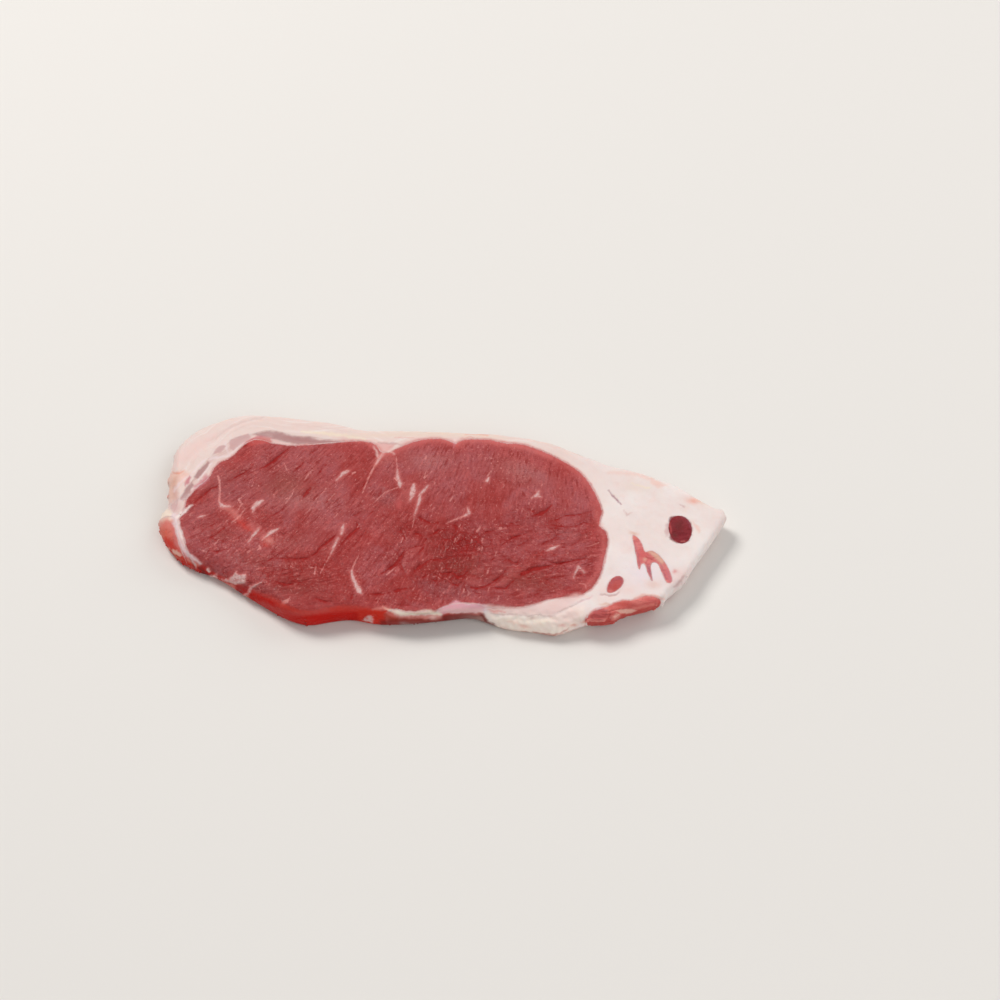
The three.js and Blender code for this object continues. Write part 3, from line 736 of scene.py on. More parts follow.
CAP_DAUBS = (
    Tint.PEACH.patch(1.2, 0.65, (-119, 27.5), (-112.9, 29.4), (-110.5, 27.5), (-110.4, 24.4), (-114, 20),
        (-114, 14.5), (-117.6, 11.4), (-121, 17.6), (-122, 23.8)),
    Tint.TAN.stroke(1.3, 0.75, (-115.6, 25.6, 1.6), (-116.6, 20, 3), (-115.4, 14.6, 2)),
    Tint.VEIL.stroke(1.2, 0.45, (-115.8, 20, 2), (-114.4, 13.6, 2.4)),
    Tint.FASCIA.stroke(0.7, 0.75, (-116, 17.6, 0.6), (-113.8, 22, 1.2), (-110.8, 26.2, 0.8)),
    Tint.BLUSH.patch(2, 0.35, (-118.6, 29), (-119, 34), (-113, 42), (-104, 48), (-96, 52), (-88, 55),
        (-96, 50.5), (-103, 44), (-108, 36)),
    Tint.APRICOT.stroke(0.4, 0.8, (-117.2, 27.8, 0.5), (-115.2, 27.3, 0.9), (-112.4, 29.6, 0.3)),
    Tint.GRAPE.patch(0.5, 0.85, (-111.6, 23.4), (-109.8, 26.6), (-108.9, 25.4), (-109.7, 21.9),
        (-111.3, 20.3)),
    Tint.ROSE.spot(0.9, -119.4, 16.2, 1.3, 1.8),
    Tint.CORAL.stroke(0.5, 0.6, (-120.6, 15, 0.4), (-119.6, 12, 0.7)),
    Tint.SHADE.stroke(0.6, 0.6, (-79.8, 58.6, 0.3), (-88.3, 56.2, 0.6), (-94.2, 52.9, 0.7), (-98, 49.7, 0.7),
        (-100.3, 46.5, 0.3)),
    Tint.SHADE.stroke(0.6, 0.4, (-88.2, 53.6, 0.2), (-94, 49.9, 0.5), (-98.6, 44.4, 0.6),
        (-102.3, 37.4, 0.3)),
    Tint.SHADE.stroke(0.5, 0.45, (-68.8, 54.5, 0.3), (-58.5, 53.9, 0.5), (-49.9, 52.3, 0.3),
        (-38, 49.6, 0.3)),
    Tint.YELLOW.stroke(0.8, 0.6, (-62, 50.6, 1), (-50, 49.4, 1.6), (-34, 46.8, 1)),
    Tint.BUFF.stroke(1.4, 0.65, (-44, 48.6, 1), (-30, 48.4, 2.4), (-10, 49.2, 2.8), (4, 49, 2.8),
        (16, 48.6, 2.4), (28, 46.8, 1.2)),
    Tint.APRICOT.stroke(0.5, 0.7, (10, 48.9, 0.2), (15.9, 48.9, 0.6), (20.4, 48.2, 0.3)),
    Tint.SALMON.stroke(0.4, 0.5, (-21, 47.1, 0.2), (-16, 47.2, 0.4), (-12.4, 46.9, 0.2)),
    Tint.DAWN.stroke(0.4, 0.5, (8, 46.6, 0.3), (11, 47.5, 0.4), (14.4, 47.3, 0.2)),
    Tint.PEACH.stroke(0.6, 0.4, (-48, 47.8, 0.3), (-34, 45.6, 0.8), (-24, 45.2, 0.4)),
)
LOW_EDGE = ((-22, -45.4), (-14.6, -46.4), (-8.4, -46.4), (-3, -45.8), (3.6, -46.4), (2.6, -50), (-3, -50.4),
    (-10, -49.4), (-20, -49))
FRONT_DAUBS = (
    Tint.CREAM.patch(1, 0.85, (-122.8, 2), (-121, 6), (-118.6, 9), (-116, 7.5), (-115, 4), (-115.2, 1.4),
        (-117.6, 2.2), (-119.6, 1), (-120.6, -1.4), (-121.2, -4.4), (-123.4, -3.4)),
    Tint.SALMON.patch(1.6, 0.85, (-121.8, -1.6), (-120.6, 2.2), (-117.4, 3.2), (-115, 1), (-113.6, -5.6),
        (-116, -8), (-119.4, -8.4), (-122.2, -6.4)),
    Tint.CLAY.spot(0.75, -118.4, -4.4, 4, 3.6, -20),
    Tint.SHELL.stroke(0.8, 0.5, (-121.6, 1.6, 0.5), (-121.9, -3, 0.8), (-121, -6.6, 0.5)),
    Tint.CLAY.spot(0.6, -117.6, -6.4, 3, 2.6, -20),
    Tint.EMBER.spot(0.75, -116, -9.4, 2.8, 2.4, -30),
    Tint.PINK.stroke(1, 0.8, (-112.9, -4, 1), (-111.6, -8.6, 1.8), (-110.2, -12.2, 2.4),
        (-106.4, -16.4, 1.6)),
    Tint.EMBER.patch(1.6, 0.9, (-118.2, -6.6), (-115.4, -8.8), (-111.6, -12.4), (-108.6, -15.8),
        (-103.9, -18.1), (-103.2, -21.6), (-110, -21.4), (-116.4, -17.8), (-121, -11.2)),
    Tint.EMBER.patch(1.4, 0.3, (-119.4, -7.4), (-117, -6.4), (-114, -9.4), (-113, -13), (-116.4, -13.6),
        (-119, -11)),
    Tint.VIVID.patch(1.4, 0.9, (-119, -9.6), (-114.4, -13), (-109.2, -17.6), (-103.4, -20.4), (-99.4, -21.6),
        (-95, -25), (-91, -28.6), (-93, -31), (-110, -27), (-120, -17)),
    Tint.CLAY.stroke(0.9, 0.8, (-114.4, -14.6, 1), (-111.4, -16.6, 1.4), (-108.6, -18, 0.6)),
    Tint.EMBER.stroke(0.8, 0.85, (-109, -18.8, 0.6), (-106, -19.8, 1.4), (-102.4, -21.6, 0.8)),
    # painted highlight: an orange streak just below the fascia
    Tint.APRICOT.stroke(0.7, 0.75, (-106.4, -17.9, 0.5), (-103.2, -20, 0.9), (-101.4, -20.9, 0.4)),
    Tint.DAWN.patch(0.9, 0.75, (-115, 5.7), (-113.6, 5.7), (-112.3, 0), (-110.8, -4.8), (-109.8, -8),
        (-108.1, -12.2), (-105.6, -14.8), (-102.7, -17.2), (-100.4, -19.7), (-101.6, -20.8), (-104.1, -19.4),
        (-106.9, -17), (-109.5, -14), (-111.9, -10), (-113.6, -5.6), (-114.6, 0)),
    Tint.FASCIA.stroke(0.8, 0.85, (-114.6, 5, 2.4), (-113.2, 0, 1.9), (-112, -4.8, 1.3), (-110.7, -8.6, 1.2),
        (-109, -12.4, 1.5), (-106.4, -15.2, 1.7), (-103.6, -17.6, 1.4), (-101, -20, 0.8)),
    Tint.WHITE.stroke(0.6, 0.7, (-112.6, 2.6, 0.8), (-111.2, -2.4, 1), (-109.9, -7.4, 0.5)),
    # painted shadow along the bottom of the left front side
    Tint.MAROON.stroke(0.8, 0.85, (-101, -22.2, 1.2), (-99, -24.6, 1.4), (-96.6, -27.8, 1.6),
        (-93, -30.6, 1.4)),
    Tint.PEACH.patch(0.45, 0.9, (-113.6, -12.6), (-111.6, -13.2), (-110.2, -14.4), (-108.9, -15.6),
        (-109.6, -16.4), (-111, -16), (-112.6, -14.6)),
    Tint.PEACH.spot(0.8, -115.2, -12.6, 0.8, 0.8),
    Tint.WHITE.stroke(0.6, 0.85, (-107.4, 10.4, 0.6), (-110.4, 6.8, 1.6), (-113, 4, 1.8)),
    Tint.SHELL.stroke(0.4, 0.9, (-97.2, -22.8, 0.9), (-96.6, -23.8, 0.7)),
    Tint.SHELL.stroke(0.4, 0.9, (-96.2, -26, 0.5), (-94.4, -26.1, 0.9), (-93, -27.2, 0.4)),
    Tint.SALMON.patch(0.9, 0.85, (-92, -28.6), (-85.2, -31), (-84.9, -34), (-90.6, -31.8)),
    Tint.BLOOD.patch(0.6, 0.6, (-84.8, -31.2), (-79.3, -31.9), (-79.6, -34), (-82.4, -34.9), (-84.2, -33.8)),
    Tint.APRICOT.patch(0.7, 0.75, (-82.8, -36.8), (-79.2, -36.2), (-78.6, -38.4), (-82.1, -39)),
    Tint.FASCIA.spot(0.9, -28.6, -46.6, 1.6, 0.9, 20),
    Tint.GREYED.stroke(0.4, 0.7, (-27, -46.2, 0.4), (-26.6, -48.6, 0.5)),
    # painted highlight: a soft pink line along the top of the front side
    Tint.ROSE.stroke(1.6, 0.5, (-78.1, -38.6, 0.8), (-72.2, -40.6, 1.4), (-66, -43.2, 1.8), (-60, -45.2, 1.6),
        (-52, -44.2, 2), (-44, -42.6, 2.2), (-36, -42.4, 2.2), (-29, -42.4, 1.4)),
    Tint.VIVID.spot(0.6, -42, -48, 10, 2.6),
    Tint.EMBER.stroke(1.6, 0.6, (-44, -42.8, 1.4), (-36, -43, 2), (-28, -43.8, 2.2), (-20, -45.6, 1.4)),
    Tint.EMBER.patch(1.2, 0.85, (-33, -44), (-26, -43.2), (-18.4, -43.4), (-17.4, -46), (-14, -53),
        (-33, -53)),
    Tint.SALMON.stroke(0.8, 0.7, (-27, -42.8, 0.6), (-22.5, -42.2, 1.6), (-19.8, -43, 0.8)),
    Tint.CORAL.patch(1.5, 0.8, *LOW_EDGE),
    Tint.RUST.patch(1.5, 0.75, *LOW_EDGE),
    # painted shadow along the bottom of the front side
    Tint.MAROON.patch(1.3, 0.7, (-24, -47.8), (-14.6, -47), (-8.4, -47), (-3, -46.6), (3.6, -46.8),
        (3.6, -56), (-24, -56)),
    Tint.SALMON.patch(1, 0.7, (-21.6, -44.4), (-14.6, -46), (-8.4, -46), (-3.4, -45.4), (2.6, -46),
        (1.6, -47.2), (-2.6, -47.8), (-8, -47), (-14, -46.8), (-19.4, -46)),
    Tint.SHELL.spot(0.6, -2, -46.8, 2, 0.9),
    Tint.CREAM.patch(0.8, 0.95, (-22, -42.6), (-19.2, -42.9), (-13, -44.2), (-6, -43.5), (-4, -43), (-1, -44),
        (1.4, -42.4), (1.6, -45), (-0.6, -45.8), (-4, -45), (-8, -45.3), (-13, -45.4), (-18, -44.6),
        (-20.4, -43.7)),
    Tint.SHELL.stroke(0.6, 0.6, (-19.6, -43.6, 0.4), (-14, -44.6, 0.8), (-8, -44, 0.6), (-4.4, -43.4, 0.6)),
    Tint.YELLOW.stroke(0.7, 0.6, (-17, -44.9, 0.4), (-10, -45.2, 0.8), (-5, -44.6, 0.7)),
    Tint.EMBER.patch(0.9, 0.9, (2, -44.6), (8, -44.8), (18.4, -44.2), (20.4, -48), (16, -54), (2, -54)),
    # painted shadow under the lobe's front
    Tint.MAROON.patch(1.1, 0.95, (1.6, -45.6), (9, -45), (18.8, -44.8), (20.4, -48), (17, -56), (2, -56)),
    Tint.LILAC.patch(0.6, 0.9, (-0.6, -43.6), (1.4, -41.6), (5, -40.2), (7.2, -38.4), (8.4, -38.8),
        (9.4, -40), (17.6, -40), (20.6, -41), (20.4, -43.4), (14.9, -44.2), (5.8, -44.4), (2, -44.9)),
    Tint.BLUSH.stroke(1, 0.8, (0, -43.8, 0.6), (8, -43.2, 1.4), (18, -43, 1)),
    Tint.LAVENDER.spot(0.8, 20, -43.2, 1.4, 1.4),
)
LOBE_DAUBS = (
    # painted light over the lobe
    Tint.ECRU.patch(1.6, 0.7, (22, -46), (36, -46.6), (48, -46.4), (54, -42.6), (60, -42), (62, -46),
        (56, -52), (50, -56), (36, -55), (24, -51)),
    Tint.BLUSH.patch(1.2, 0.6, (19, -40.6), (34, -41.8), (46, -38.8), (58, -35), (62, -36), (51, -43.6),
        (48, -45.6), (36, -45.8), (25, -45), (21, -44)),
    # painted light along the lobe's front
    Tint.ECRU.spot(0.85, 36, -49.6, 17, 3.6, -4),
    Tint.SHELL.spot(0.65, 54, -45.5, 7, 4, 30),
    Tint.YELLOW.spot(0.3, 43.2, -48.8, 2.4, 1),
    Tint.PEACH.stroke(0.8, 0.5, (28.6, -48.8, 0.4), (31.4, -48.9, 0.8), (33, -49, 0.3)),
    Tint.PEACH.spot(0.7, 35.6, -51, 2.4, 0.9, -15),
    Tint.MAUVE.spot(0.35, 38.8, -47, 0.9, 0.7),
    Tint.SALMON.stroke(0.5, 0.7, (20.8, -42.8, 0.3), (23.2, -43.6, 0.8), (27.8, -44.2, 0.4)),
    Tint.SALMON.stroke(0.5, 0.5, (21.6, -44.2, 0.3), (24.6, -44.7, 0.5)),
    # painted shade in the lobe's two creases
    Tint.ASH.stroke(0.4, 0.45, (22, -45, 0.2), (26, -45.3, 0.3), (33, -45.4, 0.3), (36, -46, 0.4),
        (40, -45.8, 0.3), (46, -45.8, 0.3), (48.6, -46.4, 0.2)),
    Tint.ASH.stroke(0.4, 0.4, (49.6, -44.4, 0.2), (53, -42.4, 0.3), (57, -40.6, 0.3), (60, -38.6, 0.3),
        (63.4, -36.8, 0.2)),
    Tint.LILAC.stroke(0.6, 0.5, (58.6, -39.4, 0.3), (61, -38.4, 0.7), (64, -36.4, 0.6)),
    Tint.SALMON.spot(0.5, 51.6, -50.6, 1.6, 0.8),
    Tint.APRICOT.spot(0.7, 56.4, -50.8, 1.4, 0.6, 20),
    Tint.APRICOT.spot(0.7, 60.6, -48.8, 1.6, 0.7, 25),
    # painted shadow along the lobe's lower edge
    Tint.MAROON.stroke(0.7, 0.85, (18, -45.8, 1.2), (20.4, -48.8, 1.4), (23.6, -51.4, 1), (28.6, -53.6, 0.8),
        (34, -54.6, 0.5)),
    Tint.RUST.stroke(0.6, 0.7, (33.3, -53.9, 0.5), (39.5, -54.6, 0.9), (47.7, -55.4, 1), (50.5, -54.6, 0.6),
        (54, -52.4, 0.3)),
)
TAIL_DAUBS = (
    Tint.LAVENDER.spot(0.7, 87, -24, 10, 8),
    Tint.BLUSH.spot(0.4, 76, -33, 8, 5),
    Tint.APRICOT.stroke(0.9, 0.6, (82, -37.2, 0.3), (85.6, -35.8, 0.9), (89.4, -35.6, 0.6), (94, -38, 0.6)),
    Tint.TAN.stroke(0.7, 0.7, (67.2, -40.6, 0.5), (70, -40.2, 1.2), (73.4, -40.8, 0.6)),
    Tint.LILAC.stroke(0.7, 0.5, (74, -42, 0.3), (70, -41.8, 0.6), (66, -42.2, 0.4)),
    Tint.WHITE.stroke(0.4, 0.9, (70.6, -34.9, 0.3), (73, -35, 0.6), (75, -34, 0.3)),
    # painted shadow: a mauve line under the white fat lip below the oval
    Tint.MAUVE.stroke(0.4, 0.7, (67.5, -35.3, 0.3), (71.2, -36, 0.5), (74, -35.6, 0.5), (75.8, -34.3, 0.2)),
    Tint.TAN.spot(0.7, 83, -4.4, 2, 1, -20),
    Tint.PEACH.stroke(1.6, 0.5, (73.5, 27.9, 0.4), (80, 27.6, 1.3), (86, 26.8, 1.5), (92.1, 24.5, 1.2)),
    Tint.PEACH.patch(0.9, 0.5, (92.1, 24.9), (98.6, 21.1), (94.6, 19.6), (91.4, 22.6)),
    Tint.YELLOW.stroke(0.6, 0.7, (83, 22, 0.4), (86.6, 20.6, 0.8), (90.6, 19.5, 0.8)),
    Tint.APRICOT.spot(0.7, 109.8, 12.9, 3.4, 1.7, -12),
    Tint.TAN.spot(0.4, 90, -30.4, 4, 2),
    Tint.BLUSH.spot(0.25, 79, -10, 4, 5),
    Tint.BUFF.spot(0.6, 113.6, 14, 2.6, 4),
    Tint.BUFF.spot(0.4, 84, 19.6, 5, 2.4, -18),
    Tint.YELLOW.stroke(0.6, 0.6, (111, 19, 1.4), (110.8, 15, 1)),
    Tint.VEIL.stroke(0.5, 0.7, (103.3, 10.8, 0.3), (105.5, 9.6, 0.8)),
    Tint.PEACH.stroke(0.7, 0.7, (108.4, 1.4, 0.4), (110, -1, 0.8), (111, -3.6, 1.2)),
    Tint.PINK.spot(0.8, 99.6, -23.9, 1.3, 0.9, 40),
    Tint.BLUSH.spot(0.4, 101, -27, 3, 6, -40),
    Tint.PLUM.stroke(0.5, 0.9, (72.7, 18.5, 0.2), (75.4, 14.6, 0.6), (77.9, 11.1, 0.6)),
    Tint.VEIL.stroke(0.5, 0.7, (79.3, 8, 0.2), (80.4, 5.2, 0.6), (82.4, 6.4, 0.2)),
    Tint.WINE.patch(0.5, 0.9, (98.1, 1.9), (98.7, 4.3), (100.7, 5), (104.4, 4.4), (107, 2.6), (108.1, -1.1),
        (107.6, -4.4), (106.1, -8.6), (103.6, -9), (100.4, -9.4), (98.3, -7.8), (98, -6.3), (98.7, -4.1),
        (98.3, -0.4)),
    # painted shadow: a pinkish shade on the fat beside the round muscle's left side
    Tint.VEIL.patch(0.9, 0.7, (96.6, -6), (98.6, -4.6), (99, -1.6), (98.4, 1), (97, 1), (96.2, -3)),
    Tint.MAUVE.stroke(0.8, 0.5, (98.6, -31.6, 0.8), (101.4, -28.8, 1.2), (103.4, -26.2, 0.6)),
)
FLANK_DAUBS = (
    Tint.BRICK.spot(0.9, 77.5, -40.4, 5, 2.2),
    Tint.CORAL.spot(0.7, 88.5, -37.8, 4.5, 1.8, -5),
    Tint.SALMON.stroke(0.6, 0.6, (76, -38.9, 0.3), (82, -38.2, 0.6), (88, -36.6, 0.4), (93, -37.8, 0.3)),
    Tint.SALMON.stroke(0.8, 0.7, (79, -43, 0.5), (84, -42, 0.9), (90, -40.2, 0.6)),
    Tint.PEACH.patch(0.5, 0.85, (74, -43.6), (76, -42.6), (79, -42.9), (82.6, -43.2), (80, -44.4), (77, -45)),
    Tint.LUMP.patch(0.7, 0.8, (63, -46.4), (64.6, -43.4), (67.4, -42.2), (70.4, -43.2), (70.8, -46.2),
        (68.4, -48.2), (64, -48.4)),
    Tint.PLUM.stroke(0.5, 0.4, (64.6, -43.8, 0.3), (67.4, -42.5, 0.5), (70, -43.2, 0.3)),
    Tint.SALMON.stroke(0.7, 0.6, (63.2, -47.6, 0.5), (66, -48.6, 0.8), (69.6, -47.6, 0.5)),
    # painted shade in the groove between the lump and the strip
    Tint.BLOOD.stroke(0.5, 0.7, (71, -43.6, 0.3), (71.4, -45.4, 0.7), (70.8, -47.6, 0.5)),
    Tint.SALMON.patch(0.5, 0.85, (71.4, -47.6), (72, -46), (74, -44.8), (75.6, -44.6), (75.6, -46.4),
        (73.8, -48)),
    Tint.PEACH.stroke(0.4, 0.8, (72.8, -46.9, 0.4), (74.6, -45.3, 0.7)),
)
BRANCH_DAUBS = (
    Tint.SALMON.spot(0.8, 82.8, -6.6, 1.6, 2),
    Tint.CORAL.spot(0.7, 86, -15.6, 2.6, 3.4),
    # painted highlight along the branch's crest
    Tint.TAN.stroke(0.9, 0.9, (89.2, -13.6, 1.4), (92, -16.2, 2.4), (94.4, -19, 2.2)),
    Tint.PINK.spot(0.8, 95.2, -21.4, 1.7, 1.3),
    Tint.CORAL.stroke(0.8, 0.5, (96, -24, 2), (96.4, -27.4, 2)),
    Tint.GRAPE.stroke(0.9, 0.7, (96.2, -23, 1), (97.4, -28, 1.8)),
    Tint.GRAPE.stroke(0.7, 0.6, (88.4, -21, 0.8), (89.4, -26, 1), (90.4, -30, 0.6)),
    Tint.PLUM.stroke(0.5, 0.6, (93.8, -20, 0.4), (94.7, -24, 0.6), (95.6, -27.8, 0.6)),
    Tint.PLUM.stroke(0.7, 0.65, (88, -21, 0.9), (89, -25, 1.1), (90.2, -29.2, 0.6)),
    Tint.BLOOD.stroke(0.6, 0.6, (88, -16.8, 1), (90.2, -18, 0.8)),
    Tint.TAN.spot(0.8, 87.2, -17.8, 0.8, 0.9),
    # painted shade along the branch's left edge
    Tint.PLUM.stroke(0.5, 0.5, (82.6, -8, 0.3), (83.7, -12, 0.5), (84.3, -16, 0.6), (84.6, -21, 0.5)),
)
ROUND_DAUBS = (
    Tint.BROWN.spot(0.7, 100.4, -5.6, 1.2, 1.2),
    Tint.BROWN.spot(0.5, 102.4, -0.6, 2.4, 3),
    Tint.CORAL.stroke(0.6, 0.7, (98.4, 1.2, 0.3), (98.7, -1.6, 0.7), (98.9, -4.2, 0.3)),
    # painted glints: pale specks along the round muscle's lower rim
    Tint.PINK.stroke(0.3, 0.6, (100.3, -8.5, 0.35), (101, -8.8, 0.3)),
    Tint.PINK.stroke(0.3, 0.6, (102.8, -8.7, 0.3), (104.6, -8.6, 0.35)),
    Tint.PINK.stroke(0.3, 0.5, (106.6, -6.4, 0.3), (107, -5.6, 0.3)),
    Tint.PLUM.stroke(0.6, 0.4, (104, 4.6, 0.4), (106.6, 2.6, 0.6), (107.4, -1.6, 0.4)),
)
OVAL_DAUBS = (
    Tint.PLUM.stroke(0.7, 0.5, (72, -29.6, 0.3), (75.4, -27, 0.7), (77.4, -28.4, 0.6), (76.8, -31.6, 0.3)),
    Tint.BRICK.spot(0.8, 74, -31.6, 2, 2.4),
    Tint.SALMON.spot(0.6, 71.8, -33.8, 1.2, 0.8),
)
MEAT_DAUBS = (
    Tint.SALMON.stroke(1.6, 0.35, (-92.4, 8.8, 1.2), (-89, 6.4, 2.4), (-86.4, 3.4, 1.4)),
    Tint.EMBER.stroke(1.6, 0.45, (-86, 1.4, 1.2), (-81.4, -2.6, 1.4)),
    Tint.SALMON.spot(0.5, -73, -8.2, 3, 1.6, -30),
    Tint.EMBER.spot(0.4, -74, -10.4, 2, 1.2, -30),
    Tint.SALMON.stroke(1.4, 0.35, (-22.4, 39.6, 1), (-27, 37, 1.8), (-29, 32.4, 0.8)),
    Tint.CORAL.spot(0.5, -18, 11, 1.6, 2.6),
    Tint.DAWN.stroke(1.8, 0.6, (-18, 43.6, 0.4), (-10, 46, 1.2), (-2, 46.6, 1.6), (3, 45.2, 1.6),
        (6, 44.2, 1.6), (9, 45.6, 1.2), (16, 46.2, 1.4), (22, 45.2, 1.6), (28, 43.8, 1.8), (36, 42, 2.2),
        (42, 39.6, 1.8), (48, 36.6, 0.8)),
    Tint.DAWN.stroke(1.6, 0.45, (66.4, 10, 0.5), (68, 1, 1.4), (70, -7, 1.8), (69.4, -15, 1.6),
        (67, -24, 1.6), (61, -32.4, 1)),
    Tint.DAWN.stroke(1.4, 0.5, (-64, 43.4, 0.5), (-50, 44.2, 0.8), (-42, 45.6, 1.6), (-34, 45, 1.6),
        (-30, 41.6, 1.2)),
    Tint.BLUSH.stroke(0.8, 0.8, (-46, 45.4, 0.3), (-40, 46.2, 0.7), (-34, 46, 0.9), (-30.4, 44.4, 0.5)),
    Tint.SHELL.stroke(0.6, 0.6, (5.6, 45.8, 1.3), (5.5, 44.4, 0.6)),
    Tint.GRAPE.stroke(0.6, 0.7, (5.5, 44.2, 0.8), (5.4, 41.8, 0.4)),
    Tint.SHELL.stroke(0.6, 0.7, (-30, 42.4, 0.3), (-28.6, 39, 0.7), (-28, 36.4, 0.5)),
    Tint.SHELL.stroke(0.6, 0.6, (-24.4, 40.4, 0.6), (-22.2, 39.6, 0.6), (-20.4, 38.4, 0.2)),
    Tint.PINK.patch(0.9, 0.6, (-31.5, 43.9), (-26, 44.6), (-20, 43.6), (-22.3, 41), (-24.4, 39.4),
        (-26.6, 36.3), (-28.2, 36.2), (-27, 39.5), (-28.6, 41.4)),
    Tint.BLUSH.patch(0.8, 0.35, (-30, 44.2), (-26, 44.4), (-21.4, 43.6), (-24, 41.2), (-26, 39),
        (-26.4, 41.4)),
    Tint.GREYED.stroke(0.7, 0.55, (-28.4, 44.6, 0.5), (-22.4, 43.9, 0.8), (-17.4, 43.3, 0.3)),
)
BODY_DAUBS = (MEAT_DAUBS, SILVERSKIN_DAUBS, CAP_DAUBS, FRONT_DAUBS, LOBE_DAUBS, TAIL_DAUBS)


class Brush:
    """Works out, for places on the plan, what is drawn on the steak there."""

    fleck_count = 300
    fleck_box = ((-112.0, -46.0), (72.0, 48.0))
    fleck_length = (0.5, 2.2)
    fleck_width = (0.14, 0.36)
    fleck_sway = 0.3
    fleck_floor = 0.35
    wobbles = ((2.2, 0.5, 30), (0.9, 0.25, 33))

    def __init__(self, grain: Grain, eye: Mark) -> None:
        """Draws the loose flecks along the fibres.

        Args:
            grain: how the fibres run.
            eye: where the steak is looked at from, in plan millimetres.
        """
        self.grain = grain
        self.eye = np.array(eye)
        draw = np.random.default_rng(SEED)
        (x0, y0), (x1, y1) = self.fleck_box
        flecks = []
        while len(flecks) < self.fleck_count:
            x, y = draw.uniform(x0, x1), draw.uniform(y0, y1)
            length, width = draw.uniform(*self.fleck_length), draw.uniform(*self.fleck_width)
            sway = draw.normal(0.0, self.fleck_sway)
            rough = self.rough(np.array([[x, y, 0.0]]))[0]
            if draw.uniform() > self.fleck_floor + rough:
                continue
            angle = grain.angle(x, y) + sway
            dx, dy = math.cos(angle) * length / 2, math.sin(angle) * length / 2
            ends = (x - dx, y - dy, width * 0.5), (x + dx, y + dy, width * 0.4)
            flecks.append(Stroke(ends[0], (x, y, width), ends[1]))
        ticks = [Stroke((x - 0.2, y - 1.0, 0.4), (x + 0.2, y + 0.8, 0.65)) for x, y in TICKS]
        # the glints are painted highlights, drawn as flecks
        glints = [Stroke((x, y, 0.75)) for x, y in GLINTS]
        self.flecks = (*flecks, *ticks, *glints)

    @staticmethod
    def rough(plan: np.ndarray) -> np.ndarray:
        """How crumbly the cut face is at places, from 0 to 1."""
        return np.maximum(spread(ROUGH, plan), spread(TORN, plan))

    def seen(self, plan: np.ndarray) -> np.ndarray:
        """Moves places on the sides to where the eye sees them on the cut face's level."""
        drop = (THICKNESS - plan[:, 2:]) / (plan[:, 2:] - self.eye[2])
        return plan + (plan - self.eye) * drop

    def canvas(self, plan: np.ndarray, sheets: Iterable[tuple[Daub, ...]]) -> tuple[np.ndarray, np.ndarray]:
        """Lays daubs over each other.

        Args:
            plan: places on the plan, with their heights.
            sheets: the groups of daubs, in the order in which they lie.

        Returns:
            The colour that they give, times how much they cover, and the share left bare.
        """
        seen = self.seen(plan)
        for size, sway, seed in self.wobbles:
            for axis in (0, 1):
                seen[:, axis] += sway * GradientNoise(SEED + seed + axis)(plan / size)
        colour, bare = np.zeros((len(plan), 3)), np.ones(len(plan))
        for daub in (daub for sheet in sheets for daub in sheet):
            share = daub.share(seen)
            colour += share[:, None] * (np.array(tone(*daub.colour)[:3]) - colour)
            bare *= 1.0 - share
        return colour, bare


# The modelled tissues


def take(piece: bpy.types.Object) -> None:
    """Leaves only this object selected, and makes it the active one."""
    bpy.ops.object.select_all(action="DESELECT")
    piece.select_set(True)
    bpy.context.view_layer.objects.active = piece


def copy_of_node(node: str, name: str) -> bpy.types.Object:
    """Copies a CAD node's mesh into an object of its own, with its doubles merged.

    Args:
        node: the CAD node's name.
        name: the new object's name.

    Returns:
        The new object, at the origin.
    """
    piece = bpy.data.objects.new(name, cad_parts[node].data.copy())
    bpy.context.scene.collection.objects.link(piece)
    piece.data.name = name
    piece.data.materials.clear()
    take(piece)
    bpy.ops.object.mode_set(mode="EDIT")
    bpy.ops.mesh.select_all(action="SELECT")
    bpy.ops.mesh.remove_doubles(threshold=1e-6)
    bpy.ops.mesh.normals_make_consistent(inside=False)
    bpy.ops.object.mode_set(mode="OBJECT")
    return piece


def modify(piece: bpy.types.Object, kind: str, **settings: Any) -> None:
    """Adds a modifier to an object and applies it.

    Args:
        piece: the object.
        kind: the modifier's type.
        **settings: the values of the modifier's properties.
    """
    take(piece)
    modifier = piece.modifiers.new(kind.title(), kind)
    for key, value in settings.items():
        setattr(modifier, key, value)
    bpy.ops.object.modifier_apply(modifier=modifier.name)


def vertex_rows(piece: bpy.types.Object, key: str) -> np.ndarray:
    """Reads a vector of every vertex.

    Args:
        piece: the object.
        key: the vertices' property, "co" for their places or "normal".

    Returns:
        One row for each vertex, places in metres.
    """
    flat = np.empty(len(piece.data.vertices) * 3, np.float32)
    piece.data.vertices.foreach_get(key, flat)
    return flat.reshape(-1, 3).astype(float)


